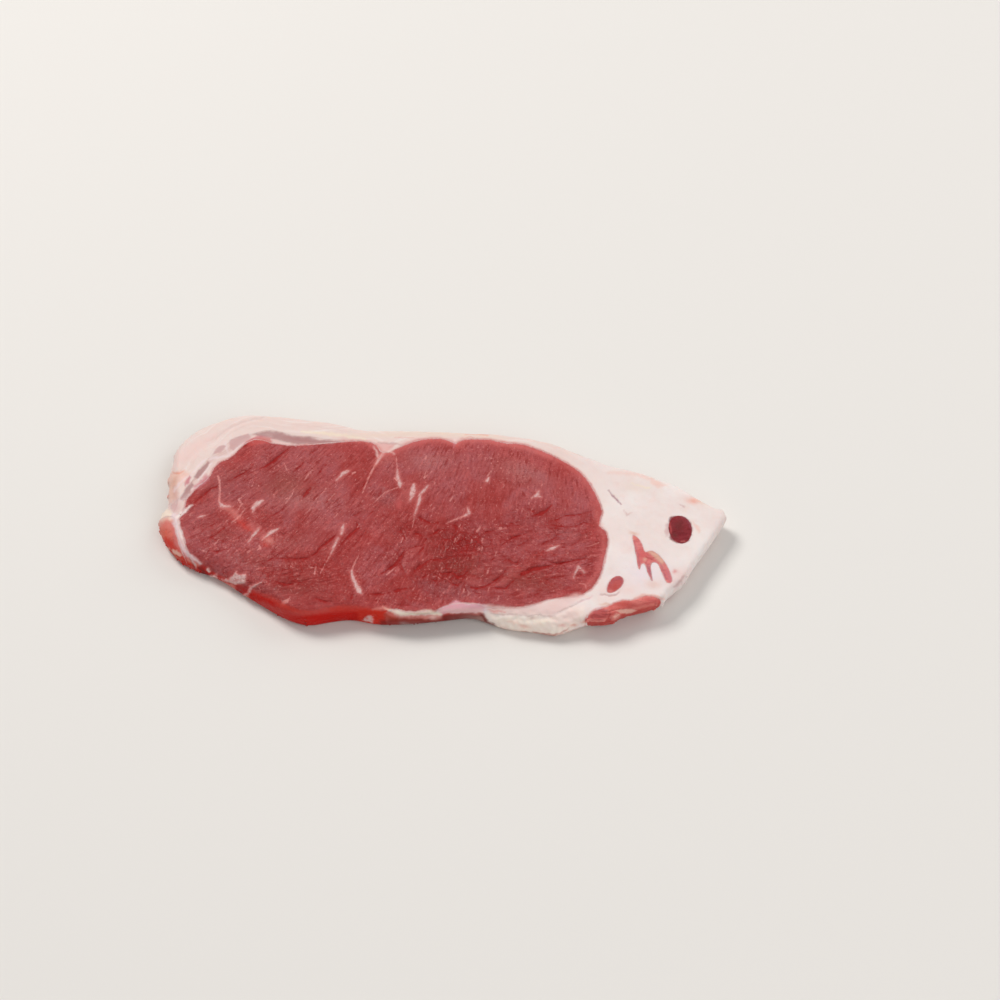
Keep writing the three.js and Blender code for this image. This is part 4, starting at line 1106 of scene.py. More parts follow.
@dataclass
class Envelope:
    """The whole steak's smooth outer face, which all the tissues share."""

    voxel: float = 0.8 * MM
    overlap: float = 0.2 * MM
    smoothing: int = 14
    lobe_smoothing: int = 60

    def __post_init__(self) -> None:
        """Joins the CAD nodes, closes the gaps between them and smooths the facets."""
        copies = [copy_of_node(node, f"envelope_{node}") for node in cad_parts]
        take(copies[0])
        for copy in copies:
            copy.select_set(True)
        bpy.ops.object.join()
        whole = bpy.context.view_layer.objects.active
        modify(whole, "DISPLACE", strength=self.overlap, mid_level=0.0)
        modify(whole, "REMESH", mode="VOXEL", voxel_size=self.voxel)
        modify(whole, "SMOOTH", factor=0.5, iterations=self.smoothing)
        lobe = whole.vertex_groups.new(name="lobe")
        for index, weight in enumerate(spread(LOBE, plan_of(vertex_rows(whole, "co")))):
            lobe.add([index], min(float(weight), 1.0), "REPLACE")
        modify(whole, "SMOOTH", factor=0.5, iterations=self.lobe_smoothing, vertex_group="lobe")
        modify(whole, "DISPLACE", strength=-self.overlap, mid_level=0.0)
        whole.data.calc_loop_triangles()
        self.tree = BVHTree.FromObject(whole, bpy.context.evaluated_depsgraph_get())
        log.info("envelope: %d faces", len(whole.data.polygons))
        bpy.data.objects.remove(whole)

    def feet(self, points: np.ndarray) -> tuple[np.ndarray, np.ndarray, np.ndarray]:
        """Finds the nearest place of the outer face for each point.

        Args:
            points: rows of metres.

        Returns:
            The places, the outward ways there, and the distances.
        """
        feet, ways, gaps = np.empty_like(points), np.empty_like(points), np.empty(len(points))
        for i, point in enumerate(points):
            foot, way, _, gap = self.tree.find_nearest(point)
            feet[i], ways[i], gaps[i] = foot, way, gap
        return feet, ways, gaps


class Walls:
    """The upright walls of some CAD nodes, where they meet other tissues."""

    upright = 0.02
    middle = 6.0 * MM

    def __init__(self, nodes: Iterable[str]) -> None:
        """Collects the walls.

        Args:
            nodes: the CAD nodes' names.
        """
        corners: list[Vector] = []
        faces: list[tuple[int, ...]] = []
        for node in nodes:
            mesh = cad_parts[node].data
            start = len(corners)
            corners.extend(vertex.co.copy() for vertex in mesh.vertices)
            for face in mesh.polygons:
                if abs(face.normal.z) < self.upright:
                    faces.append(tuple(start + v for v in face.vertices))
        self.tree = BVHTree.FromPolygons(corners, faces)

    def away(self, points: np.ndarray) -> np.ndarray:
        """The plan distance from each point to the nearest wall, in millimetres."""
        gaps = [self.tree.find_nearest((x, y, self.middle))[3] for x, y, _ in points]
        return np.array(gaps) / MM


@dataclass
class Tissue:
    """One tissue of the steak, modelled over its CAD node."""

    node: str
    slot: str
    finish: "Finish"
    voxel: float = 0.5 * MM
    swell: float = 0.3 * MM
    skin: float = 0.45 * MM
    lift: float = 0.0
    lobe_skin: float = 0.0
    hidden_share: float = 0.12
    hidden_below: float = 0.3 * MM
    facing: float = 0.35
    top_from: float = 6.0 * MM
    bottom_to: float = 1.0 * MM
    smooth_angle: float = math.radians(55.0)
    daubs: tuple[tuple[Daub, ...], ...] = BODY_DAUBS

    @property
    def name(self) -> str:
        """The piece's name."""
        return f"{self.node}_meat"

    def build(self, envelope: Envelope, brush: Brush) -> bpy.types.Object:
        """Models the tissue, paints it and gives it its finish.

        Args:
            envelope: the outer face that it shares with its neighbours.
            brush: what is drawn on the steak.

        Returns:
            The finished piece.
        """
        piece = copy_of_node(self.node, self.name)
        modify(piece, "DISPLACE", strength=self.swell, mid_level=0.0)
        modify(piece, "REMESH", mode="VOXEL", voxel_size=self.voxel)
        self.thin_hidden(piece, envelope)
        self.settle(piece, envelope, brush)
        take(piece)
        bpy.ops.object.shade_smooth_by_angle(angle=self.smooth_angle)
        piece.data.materials.clear()
        piece.data.materials.append(self.finish.material())
        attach(piece, "root")
        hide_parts(self.node)
        log.info("%s: %d faces", self.name, len(piece.data.polygons))
        return piece

    def thin_hidden(self, piece: bpy.types.Object, envelope: Envelope) -> None:
        """Thins out the faces that the tissues beside it or the floor hide.

        Args:
            piece: the remeshed piece.
            envelope: the outer face.
        """
        points = vertex_rows(piece, "co")
        _, _, gaps = envelope.feet(points)
        hidden = (gaps > 2.0 * self.voxel) | (points[:, 2] < self.hidden_below)
        take(piece)
        bpy.ops.object.mode_set(mode="EDIT")
        bpy.ops.mesh.select_all(action="DESELECT")
        bpy.ops.object.mode_set(mode="OBJECT")
        piece.data.vertices.foreach_set("select", hidden)
        for face in piece.data.polygons:
            face.select = all(hidden[v] for v in face.vertices)
        bpy.ops.object.mode_set(mode="EDIT")
        bpy.ops.mesh.select_mode(type="FACE")
        bpy.ops.mesh.decimate(ratio=self.hidden_share)
        bpy.ops.mesh.select_mode(type="VERT")
        bpy.ops.object.mode_set(mode="OBJECT")

    def settle(self, piece: bpy.types.Object, envelope: Envelope, brush: Brush) -> None:
        """Lays the outer vertices on the shared outer face, raises the relief and paints.

        Args:
            piece: the remeshed piece.
            envelope: the outer face.
            brush: what is drawn on the steak.
        """
        points, normals = vertex_rows(piece, "co"), vertex_rows(piece, "normal")
        feet, ways, gaps = envelope.feet(points)
        topside = (normals[:, 2] > self.facing) & (points[:, 2] > self.top_from)
        underside = (normals[:, 2] < -self.facing) & (points[:, 2] < self.bottom_to)
        skin = self.skin + self.lobe_skin * np.clip(spread(LOBE, plan_of(points)), 0.0, 1.0)
        outer = (gaps < skin) | topside | underside
        points[outer] = feet[outer]
        plan = plan_of(points)
        paint = self.paint(points, plan, brush)
        paint["tint"], paint["bare"] = brush.canvas(plan, self.daubs)
        free = smoothstep(0.2, 3.0, plan[:, 2])
        relief = (self.relief(plan, paint) + self.lift) * free * MM
        points[outer] += ways[outer] * relief[outer, None]
        points[:, 2] = np.maximum(points[:, 2], 0.0)
        piece.data.vertices.foreach_set("co", points.astype(np.float32).ravel())
        piece.data.update()
        paint["side"] = self.side(plan, ways) * outer
        for key, values in paint.items():
            vector = values.ndim == 2
            layer = piece.data.attributes.new(key, "FLOAT_VECTOR" if vector else "FLOAT", "POINT")
            layer.data.foreach_set("vector" if vector else "value", values.astype(np.float32).ravel())

    @staticmethod
    def side(plan: np.ndarray, ways: np.ndarray) -> np.ndarray:
        """Says where the outer face turns down into the sides, which it does sooner at the right.

        Args:
            plan: places on the plan.
            ways: the outer face's outward ways there.

        Returns:
            From 0 on the cut face to 1 on the sides.
        """
        start = 0.34 + 0.58 * smoothstep(-104.0, -62.0, plan[:, 0])
        return smoothstep(0.0, 1.0, (start - ways[:, 2]) / 0.47)

    def paint(self, points: np.ndarray, plan: np.ndarray, brush: Brush) -> Paint:
        """What is painted on the piece's vertices, by the attribute's name."""
        raise NotImplementedError

    def relief(self, plan: np.ndarray, paint: Paint) -> np.ndarray:
        """How far the vertices stand out from the shared outer face, in millimetres."""
        raise NotImplementedError


@dataclass
class Muscle(Tissue):
    """Lean meat: fibres, creases and marbling."""

    roughness: float = 1.0

    def paint(self, points: np.ndarray, plan: np.ndarray, brush: Brush) -> Paint:
        """Works out the lean's marks and the run of its fibres.

        Args:
            points: the vertices' places, in metres.
            plan: their places on the plan.
            brush: what is drawn on the steak.

        Returns:
            The values of each attribute, by its name.
        """
        upper_right = smoothstep(-34.0, -16.0, plan[:, 0]) * smoothstep(-2.0, 12.0, plan[:, 1])
        lay, torn, rough = brush.grain.lay(plan), spread(TORN, plan), brush.rough(plan)
        fanned, level = brush.grain.fanned(plan), brush.grain.level(plan)
        sway = np.stack([GradientNoise(SEED + seed)(plan / 9.0) for seed in (20, 21)], axis=1)
        level[:, :2] += sway * 1.6
        fan_line = np.abs(GradientNoise(SEED + 2)(fanned / np.array([2.6, 10.0, 5.0])))
        level_line = np.abs(GradientNoise(SEED + 3)(level / np.array([4.2, 18.0, 5.0])))
        shown = smoothstep(0.0, 0.4, GradientNoise(SEED + 4)(plan / 8.0) + rough * 0.4 - 0.1)
        furrow = smoothstep(0.12, 0.0, fan_line) * (1 - lay) * np.clip(0.15 + rough * 0.8, 0, 1)
        furrow = np.maximum(furrow, smoothstep(0.11, 0.0, level_line) * lay * 0.8) * shown
        edge_fat = nearest_edge(EDGE_FAT, brush.seen(plan))
        groove = nearest_edge(GROOVES, plan) + GradientNoise(SEED + 9)(plan / 1.8) * 0.35
        flake = nearest_edge(FLAKES, plan) + GradientNoise(SEED + 13)(plan / 1.5) * 0.3
        shingles, foot = Shingles(SEED + 14, 7.0)(plan)
        ground, ground_bare = brush.canvas(plan, (GROUND_DAUBS,))
        return {
            "edge": Walls([self.node]).away(points),
            "marbling": np.minimum(nearest_edge(MARBLING, plan), edge_fat),
            # faint marbling, flecks and ticks, and the glints, which are painted highlights
            "faint": nearest_edge((*FAINT_MARBLING, *brush.flecks), plan),
            "smear": spread(SMEARS, plan),
            "groove": smoothstep(0.45, -0.75, groove),
            "shade": smoothstep(2.4, -0.8, groove),
            "lip": smoothstep(2.6, 1.2, groove) * smoothstep(0.3, 1.2, groove),
            "flake": smoothstep(0.3, -0.5, flake),
            # the band round each flake's edge, darkened in the lean's colour as painted shade beside the
            # raised flake
            "under": smoothstep(1.2, 0.0, flake) * smoothstep(-0.5, 0.3, flake),
            "shingles": shingles,
            # the feet of the steps, darkened in the lean's colour as painted shade
            "foot": foot * torn * shown,
            "torn": torn,
            "rough": rough,
            "rim": 0.25 + 0.75 * upper_right,
            "lay": lay,
            "grain": fanned,
            "grain_level": level,
            "furrow": furrow,
            "edge_fat": edge_fat,
            "ground": ground,
            "ground_bare": ground_bare,
        }

    def relief(self, plan: np.ndarray, paint: Paint) -> np.ndarray:
        """Raises fibre ridges and the flakes of the torn middle, and opens the creases.

        Args:
            plan: the vertices' places on the plan.
            paint: what is painted on them.

        Returns:
            Millimetres for each vertex.
        """
        lay, rough = paint["lay"], self.roughness * (0.3 + 0.7 * paint["rough"])

        def along_fibres(width: float, length: float, seed: int) -> np.ndarray:
            """Noise drawn out along the fibres, at a width and length in millimetres."""
            size = np.array([width, length, width])
            noise = GradientNoise(SEED + seed)
            return noise(paint["grain"] / size) * (1 - lay) + noise(paint["grain_level"] / size) * lay

        swell = GradientNoise(SEED + 1)(plan / 9.0)
        bundles = along_fibres(4.0, 18.0, 6)
        strands = along_fibres(1.6, 8.0, 7)
        crumbs = GradientNoise(SEED + 8)(plan / 2.0)
        fat = smoothstep(0.3, -0.3, paint["marbling"])
        fleck = smoothstep(0.5, -0.3, paint["edge_fat"])
        height = 0.14 * swell + rough * (0.14 * strands + 0.12 * crumbs + 0.20 * bundles * lay)
        height += paint["torn"] * self.roughness * 0.42 * paint["shingles"] + 0.22 * paint["flake"]
        height -= self.roughness * (0.20 * paint["furrow"] + 0.26 * paint["groove"])
        height += 0.10 * paint["lip"] + 0.06 * fat + 0.4 * fleck
        return height * smoothstep(0.0, 1.6, paint["edge"])


@dataclass
class Fat(Tissue):
    """Fat and gristle: soft lumps, streaks along the cap and ragged cut edges."""

    lumps: float = 0.16
    sink: float = 0.0
    meats: tuple[str, ...] = ()

    def paint(self, points: np.ndarray, plan: np.ndarray, brush: Brush) -> Paint:
        """Works out the fat's creases and the run of its layers.

        Args:
            points: the vertices' places, in metres.
            plan: their places on the plan.
            brush: not used.

        Returns:
            The values of each attribute, by its name.
        """
        return {
            "edge": Walls(self.meats).away(points),
            "seam": Walls([self.node]).away(points),
            "rub": 0.2 + 0.8 * smoothstep(5.0, 2.5, Walls(self.meats[:3]).away(points)),
            "crease": nearest_edge(FAT_CREASES, plan),
            "cap": smoothstep(76.0, 50.0, plan[:, 0]) * smoothstep(-4.0, 10.0, plan[:, 1]),
            "cut": smoothstep(80.0, 92.0, plan[:, 0]) * smoothstep(-4.0, -14.0, plan[:, 1]),
            "lobe": smoothstep(16.0, 24.0, plan[:, 0]) * smoothstep(-36.0, -42.0, plan[:, 1]),
        }

    def relief(self, plan: np.ndarray, paint: Paint) -> np.ndarray:
        """Raises the lumps, layers and ragged cut of the fat, and opens its creases.

        Args:
            plan: the vertices' places on the plan.
            paint: what is painted on them.

        Returns:
            Millimetres for each vertex.
        """
        x, y, z = plan.T
        soft = GradientNoise(SEED + 6)(plan / 11.0)
        small = GradientNoise(SEED + 7)(plan / 3.4)
        run = np.stack([paint["edge"] / 1.7, (x + y) / 30.0, z / 6.0], axis=1)
        layers = GradientNoise(SEED + 8)(run) * paint["cap"]
        ragged = GradientNoise(SEED + 10)(plan / np.array([2.4, 2.4, 4.0])) * paint["cut"]
        ragged = ragged * smoothstep(11.8, 10.0, z)
        crease = smoothstep(0.9, -0.2, paint["crease"])
        pitted = GradientNoise(SEED + 11)(plan / 2.2) * paint["lobe"] * smoothstep(11.6, 10.0, z)
        height = 0.28 * soft + self.lumps * small + 0.09 * layers + 0.35 * ragged
        height = height + 0.32 * pitted - 0.20 * crease - self.sink
        return height * smoothstep(0.0, 1.8, paint["seam"])


# Materials


class Wire:
    """A socket of a material, on which Python's operators add Math nodes."""

    def __init__(self, graph: "Graph", socket: bpy.types.NodeSocket) -> None:
        """Wraps a socket.

        Args:
            graph: the material's nodes.
            socket: the output socket.
        """
        self.graph = graph
        self.socket = socket

    def _math(self, operation: str, *values: Any) -> "Wire":
        """Adds a Math node on the values, in their order."""
        return self.graph.node("ShaderNodeMath", {"operation": operation}, dict(enumerate(values)))

    def __add__(self, other: Any) -> "Wire":
        """This plus the other."""
        return self._math("ADD", self, other)

    __radd__ = __add__

    def __sub__(self, other: Any) -> "Wire":
        """This less the other."""
        return self._math("SUBTRACT", self, other)

    def __rsub__(self, other: Any) -> "Wire":
        """The other less this."""
        return self._math("SUBTRACT", other, self)

    def __mul__(self, other: Any) -> "Wire":
        """This times the other."""
        return self._math("MULTIPLY", self, other)

    __rmul__ = __mul__

    def step(self, low: float, high: float) -> "Wire":
        """Adds a smooth rise between two values.

        Args:
            low: where the rise starts, with 0; it may be the larger one.
            high: where it ends, with 1.

        Returns:
            The rise.
        """
        falling = low > high
        inputs = {"Value": self, "From Min": min(low, high), "From Max": max(low, high)}
        inputs["To Min"], inputs["To Max"] = (1.0, 0.0) if falling else (0.0, 1.0)
        return self.graph.node("ShaderNodeMapRange", {"interpolation_type": "SMOOTHSTEP"}, inputs)


class Graph:
    """The nodes of one material."""

    def __init__(self, name: str) -> None:
        """Makes an empty node material.

        Args:
            name: the material's name.
        """
        self.material = bpy.data.materials.new(name)
        self.material.use_nodes = True
        self.tree = self.material.node_tree
        self.tree.nodes.clear()

    def node(
        self, kind: str, settings: dict[str, Any], inputs: dict[Any, Any], output: int | str = 0
    ) -> Wire:
        """Adds a node.

        Args:
            kind: the node's type.
            settings: its properties, set first.
            inputs: the values or wires of its sockets, by name or number.
            output: which output to give back.

        Returns:
            The output as a wire.
        """
        made = self.tree.nodes.new(kind)
        for key, value in settings.items():
            setattr(made, key, value)
        for key, value in inputs.items():
            if isinstance(value, Wire):
                self.tree.links.new(value.socket, made.inputs[key])
            else:
                made.inputs[key].default_value = value
        return Wire(self, made.outputs[output])

    def place(self) -> Wire:
        """Object coordinates in millimetres."""
        return self.scaled(self.node("ShaderNodeTexCoord", {}, {}, "Object"), (1.0 / MM,) * 3)

    def height(self, place: Wire) -> Wire:
        """How high a place is."""
        return self.node("ShaderNodeSeparateXYZ", {}, {0: place}, "Z")

    def attribute(self, name: str, output: str = "Fac") -> Wire:
        """A value that is painted on the piece."""
        return self.node("ShaderNodeAttribute", {"attribute_name": name}, {}, output)

    def scaled(self, vector: Wire, size: Any, shift: Any = (0.0, 0.0, 0.0)) -> Wire:
        """A vector times a size, plus a shift; both are three numbers or a wire."""
        inputs = {0: vector, 1: size, 2: shift}
        return self.node("ShaderNodeVectorMath", {"operation": "MULTIPLY_ADD"}, inputs)

    def noise(
        self, vector: Wire, scale: float, detail: float = 2.0, rough: float = 0.5, sway: float = 0.0
    ) -> Wire:
        """Adds noise from 0 to 1.

        Args:
            vector: the places at which it is sampled.
            scale: the number of features for each millimetre.
            detail: how many finer layers it has.
            rough: how strong the finer layers are.
            sway: how far it is distorted.

        Returns:
            The noise.
        """
        inputs = {"Vector": vector, "Scale": scale, "Detail": detail}
        inputs |= {"Roughness": rough, "Distortion": sway}
        return self.node("ShaderNodeTexNoise", {}, inputs, "Fac")

    def blend(self, share: Wire | float, first: Any, second: Any) -> Wire:
        """A colour between two."""
        return self.node("ShaderNodeMix", {"data_type": "RGBA"}, {0: share, 6: first, 7: second}, 2)

    def layered(self, colour: Wire, layers: Iterable[tuple[Wire, Colour]]) -> Wire:
        """Lays colours over a first one.

        Args:
            colour: the first colour.
            layers: how much each next colour covers, and that colour, in the order in which they lie.

        Returns:
            The colour that shows.
        """
        for share, tint in layers:
            colour = self.blend(share, colour, tone(*tint))
        return colour

    def covered(self, colour: Wire, tint: str = "tint", bare: str = "bare") -> Wire:
        """Lays the daubs that are painted on the piece over a colour.

        Args:
            colour: the colour.
            tint: the attribute with the daubs' colour, times how much they cover.
            bare: the attribute with the share that they leave bare.

        Returns:
            The colour with the daubs over it.
        """
        return self.scaled(colour, self.attribute(bare), self.attribute(tint, "Vector"))

    def mixed(self, share: Wire, first: Wire, second: Wire) -> Wire:
        """A value between two."""
        return first + (second - first) * share

    def close(
        self, settings: dict[str, Any], bump: Wire, depth: float, strength: float
    ) -> bpy.types.Material:
        """Adds the surface shader and the output.

        Args:
            settings: the values or wires of the surface shader's sockets.
            bump: the height of the fine relief.
            depth: how deep it is, in metres.
            strength: how strongly it shows.

        Returns:
            The finished material.
        """
        inputs = {"Height": bump, "Distance": depth, "Strength": strength}
        normal = self.node("ShaderNodeBump", {}, inputs)
        self.show(self.node("ShaderNodeBsdfPrincipled", {}, {**settings, "Normal": normal}))
        return self.material

    def show(self, surface: Wire) -> None:
        """Links the surface to the material's output."""
        output = self.tree.nodes.new("ShaderNodeOutputMaterial")
        self.tree.links.new(surface.socket, output.inputs["Surface"])


class LeanMarks:
    """The noises and masks of a lean material, of which its colour and its relief are mixed."""

    def __init__(self, graph: Graph) -> None:
        """Adds the noises and masks.

        Args:
            graph: the material's nodes.
        """
        self.graph = graph
        self.place = place = graph.place()
        self.edge, self.side = graph.attribute("edge"), graph.attribute("side")
        self.rough, self.lay = graph.attribute("rough"), graph.attribute("lay")
        self.cloud = graph.noise(place, 0.055)
        self.blot = graph.noise(place, 0.20, 3.0, 0.6)
        self.patch = graph.noise(place, 0.10, 2.0, 0.5, 0.6)
        self.crumb = graph.noise(place, 0.70, 3.0, 0.65)
        self.grit = graph.noise(place, 1.5, 3.0, 0.6)
        self.mote = graph.noise(graph.scaled(place, (1.0, 1.0, 1.0), (17.0, 5.0, 3.0)), 1.05, 2.0, 0.7)
        self.strands = self.fibres(1.4, 8.0, 31.0)
        self.fine = self.fibres(0.8, 3.2, 67.0, 3.0)
        self.busy = self.patch.step(0.42, 0.60) * 0.35 + self.rough * 0.75
        dash = self.fibres(1.8, 7.0, 45.0, 1.0, 0.2).step(0.60, 0.70)
        self.dash = dash * (self.patch.step(0.40, 0.55) * 0.7 + 0.3)
        self.furrow = self.crumbled("furrow", 0.5).step(0.25, 0.95)
        self.groove = self.crumbled("groove", 0.45).step(0.12, 0.90)
        self.ragged = (self.fine - 0.5) * 1.5 + (self.grit - 0.5) * 0.9
        self.marbling = graph.attribute("marbling") + self.ragged * 0.8
        self.white = self.marbling.step(0.50, -0.60)
        self.crack = self.cracks()

    def fibres(
        self, width: float, length: float, shift: float, detail: float = 2.0, sway: float = 0.4
    ) -> Wire:
        """Adds noise drawn out along the fibres.

        Args:
            width: the width of a fibre, in millimetres.
            length: its length.
            shift: how far the noise is moved, so that it isn't that of other fibres.
            detail: how many finer layers it has.
            sway: how far it is distorted.

        Returns:
            The noise, from 0 to 1.
        """
        graph = self.graph
        fanned, level = graph.attribute("grain", "Vector"), graph.attribute("grain_level", "Vector")
        size, offset = (1 / width, 1 / length, 1 / width), (shift, shift * 0.7, shift * 1.3)
        fan = graph.noise(graph.scaled(fanned, size, offset), 1.0, detail, 0.55, sway)
        flat = graph.noise(graph.scaled(level, size, offset), 1.0, detail, 0.55, sway)
        return graph.mixed(self.lay, fan, flat)

    def crumbled(self, name: str, strength: float) -> Wire:
        """A painted value with its border broken up by crumbs."""
        return self.graph.attribute(name) + (self.crumb - 0.5) * strength

    def cracks(self) -> Wire:
        """Adds the fine bent cracks of the crumbly places.

        Returns:
            1 in a crack and 0 elsewhere.
        """
        inputs = {"Vector": self.place, "Scale": 0.3, "Detail": 3.0}
        swirl = self.graph.node("ShaderNodeTexNoise", {}, inputs, "Color")
        inputs = {"Vector": self.graph.scaled(swirl, (3.0,) * 3, self.place), "Scale": 0.26}
        cell = self.graph.node("ShaderNodeTexVoronoi", {"feature": "DISTANCE_TO_EDGE"}, inputs, "Distance")
        return cell.step(0.10, 0.02) * self.rough * (self.patch.step(0.36, 0.54) * 0.5 + 0.5)


class Finish:
    """What every finish can do."""

    def material(self) -> bpy.types.Material:
        """Makes the finish's material."""
        raise NotImplementedError


@dataclass(frozen=True)
class LeanFinish(Finish):
    """Moist raw lean meat with its fibres and marbling."""

    name: str
    base: Colour = (164, 69, 67)
    mauve: Colour = (166, 83, 85)
    red: Colour = (156, 52, 49)
    streak: Colour = (138, 34, 32)
    # the dark red of the painted shade in grooves, furrows, cracks, the steps' feet and beside the flakes
    crevice_shade: Colour = (150, 20, 17)
    rim: Colour = (196, 96, 93)
    side: Colour = (190, 20, 9)
    # the lighter red of the sides' upper part, a painted highlight along the shoulder
    shoulder_highlight: Colour = (206, 62, 50)
    fat: Colour = (218, 184, 180)
    halo: Colour = (196, 106, 102)
    # darker and lighter specks: painted shade and painted highlights; the lighter one is also the pale of the
    # faint marbling, flecks and glints
    shadow: Colour = (112, 30, 28)
    light: Colour = (216, 140, 134)
    fringe: float = 0.3
    grounded: bool = False

    def material(self) -> bpy.types.Material:
        """Makes the lean's material.

        Returns:
            The material.
        """
        g = Graph(self.name)
        m = LeanMarks(g)
        colour = self.outside(g, m, self.creased(g, m, self.fibred(g, m)))
        bump = m.strands * (0.2 + m.busy * 0.3) + m.fine * (0.2 + m.busy * 0.4)
        bump = bump + m.crumb * (0.25 + m.busy * 0.7) + m.grit * 0.25 + m.mote * 0.35
        bump = bump - m.crack * 0.5 - m.groove * 0.4 - m.furrow * 0.35 - m.dash * 0.25 + m.white * 0.2
        settings = {
            "Base Color": colour,
            "Roughness": m.blot.step(0.62, 0.40) * 0.12 + 0.40 + m.white * 0.10,
            "Coat Weight": m.crumb.step(0.45, 0.62) * 0.08 * (1.0 - m.side),
            "Coat Roughness": 0.16,
            "Subsurface Weight": 0.22,
            "Subsurface Radius": (1.0, 0.28, 0.20),
            "Subsurface Scale": 1.0 * MM,
            "Specular IOR Level": 0.12,
        }
        return g.close(settings, bump, 0.5 * MM, 0.95)

    def fibred(self, g: Graph, m: LeanMarks) -> Wire:
        """Mixes the colour of the fibres.

        Args:
            g: the material's nodes.
            m: its noises and masks.

        Returns:
            The colour.
        """
        colour = g.blend(m.cloud.step(0.40, 0.60), tone(*self.red), tone(*self.mauve))
        colour = g.layered(colour, [(m.blot.step(0.36, 0.62) * 0.6, self.base)])
        if self.grounded:
            colour = g.covered(colour, "ground", "ground_bare")
        layers = [
            (g.attribute("torn") * 0.75 * m.blot.step(0.64, 0.40), self.streak),
            (m.strands.step(0.52, 0.66) * (0.26 + m.busy * 0.36), self.streak),
            (m.strands.step(0.46, 0.33) * (0.28 + m.busy * 0.16), self.rim),
            (m.fine.step(0.53, 0.68) * (0.20 + m.busy * 0.44), self.streak),
            (m.fine.step(0.42, 0.28) * (0.20 + m.busy * 0.44), self.halo),
            # painted shade and painted highlights: the crumbs and motes are laid as small darker and lighter
            # specks
            (m.crumb.step(0.54, 0.68) * (0.16 + m.busy * 0.40), self.shadow),
            (m.crumb.step(0.41, 0.29) * (0.14 + m.busy * 0.42), self.light),
            (m.mote.step(0.55, 0.72) * (0.46 + m.busy * 0.40), self.shadow),
            (m.mote.step(0.40, 0.25) * (0.40 + m.busy * 0.46), self.light),
            (m.dash * 0.6, self.streak),
        ]
        return g.layered(colour, layers)

    def creased(self, g: Graph, m: LeanMarks, colour: Wire) -> Wire:
        """Lays the creases with painted shade in them, the pink rim and the soft marbling over the fibres.

        Args:
            g: the material's nodes.
            m: its noises and masks.
            colour: the colour of the fibres.

        Returns:
            The colour.
        """
        rim = m.edge.step(4.8, 0.4) * g.attribute("rim") * m.blot.step(0.20, 0.50)
        faint = (g.attribute("faint") + m.ragged * 0.5).step(0.30, -0.25)
        layers = [
            # painted shade: the furrows, the steps' feet, the band beside the flakes, the cracks and the
            # grooves are darkened
            (m.furrow * 0.62, self.crevice_shade),
            (m.crumbled("foot", 0.6).step(0.30, 0.95) * 0.7, self.crevice_shade),
            (g.attribute("under") * m.crumb.step(0.35, 0.6) * 0.6, self.crevice_shade),
            # painted highlight: the raised flakes are lightened towards the pink rim colour
            (g.attribute("flake") * m.blot.step(0.3, 0.6) * 0.3, self.rim),
            (rim * 0.75, self.rim),
            (g.attribute("smear") * m.blot.step(0.30, 0.60) * 0.7, self.halo),
            (g.attribute("shade") * m.blot.step(0.25, 0.6) * 0.30, self.streak),
            (m.crack * 0.8, self.crevice_shade),
            (m.groove * 0.80, self.crevice_shade),
            (m.marbling.step(1.5, -0.1) * 0.55, self.halo),
            # the faint marbling and flecks take the light colour, and so do the glints as painted highlights
            (faint * (m.crumb.step(0.30, 0.6) * 0.45 + 0.3), self.light),
        ]
        return g.layered(colour, layers)

    def outside(self, g: Graph, m: LeanMarks, colour: Wire) -> Wire:
        """Lays the sides' red, with a painted highlight at their top, the daubs, the white marbling and the
        fringe over the lean.

        Args:
            g: the material's nodes.
            m: its noises and masks.
            colour: the colour of the lean.

        Returns:
            The colour.
        """
        height = g.height(m.place) + (m.blot - 0.5) * 2.5
        # painted highlight: the sides' upper part takes a lighter red, and below about 8 to 10.6 mm the deep
        # red
        sides = [(m.side * 0.85, self.shoulder_highlight), (m.side * height.step(10.6, 8.0), self.side)]
        colour = g.covered(g.layered(colour, sides))
        fringe = m.edge + (m.grit - 0.5) * 0.8 + (m.blot - 0.5) * 0.8
        fringe = fringe.step(self.fringe + 0.35, self.fringe - 0.35)
        white = m.white * (m.crumb.step(0.32, 0.58) * 0.5 + 0.34)
        return g.layered(colour, [(white, self.fat), (fringe * (1.0 - m.side) * 0.8, self.fat)])


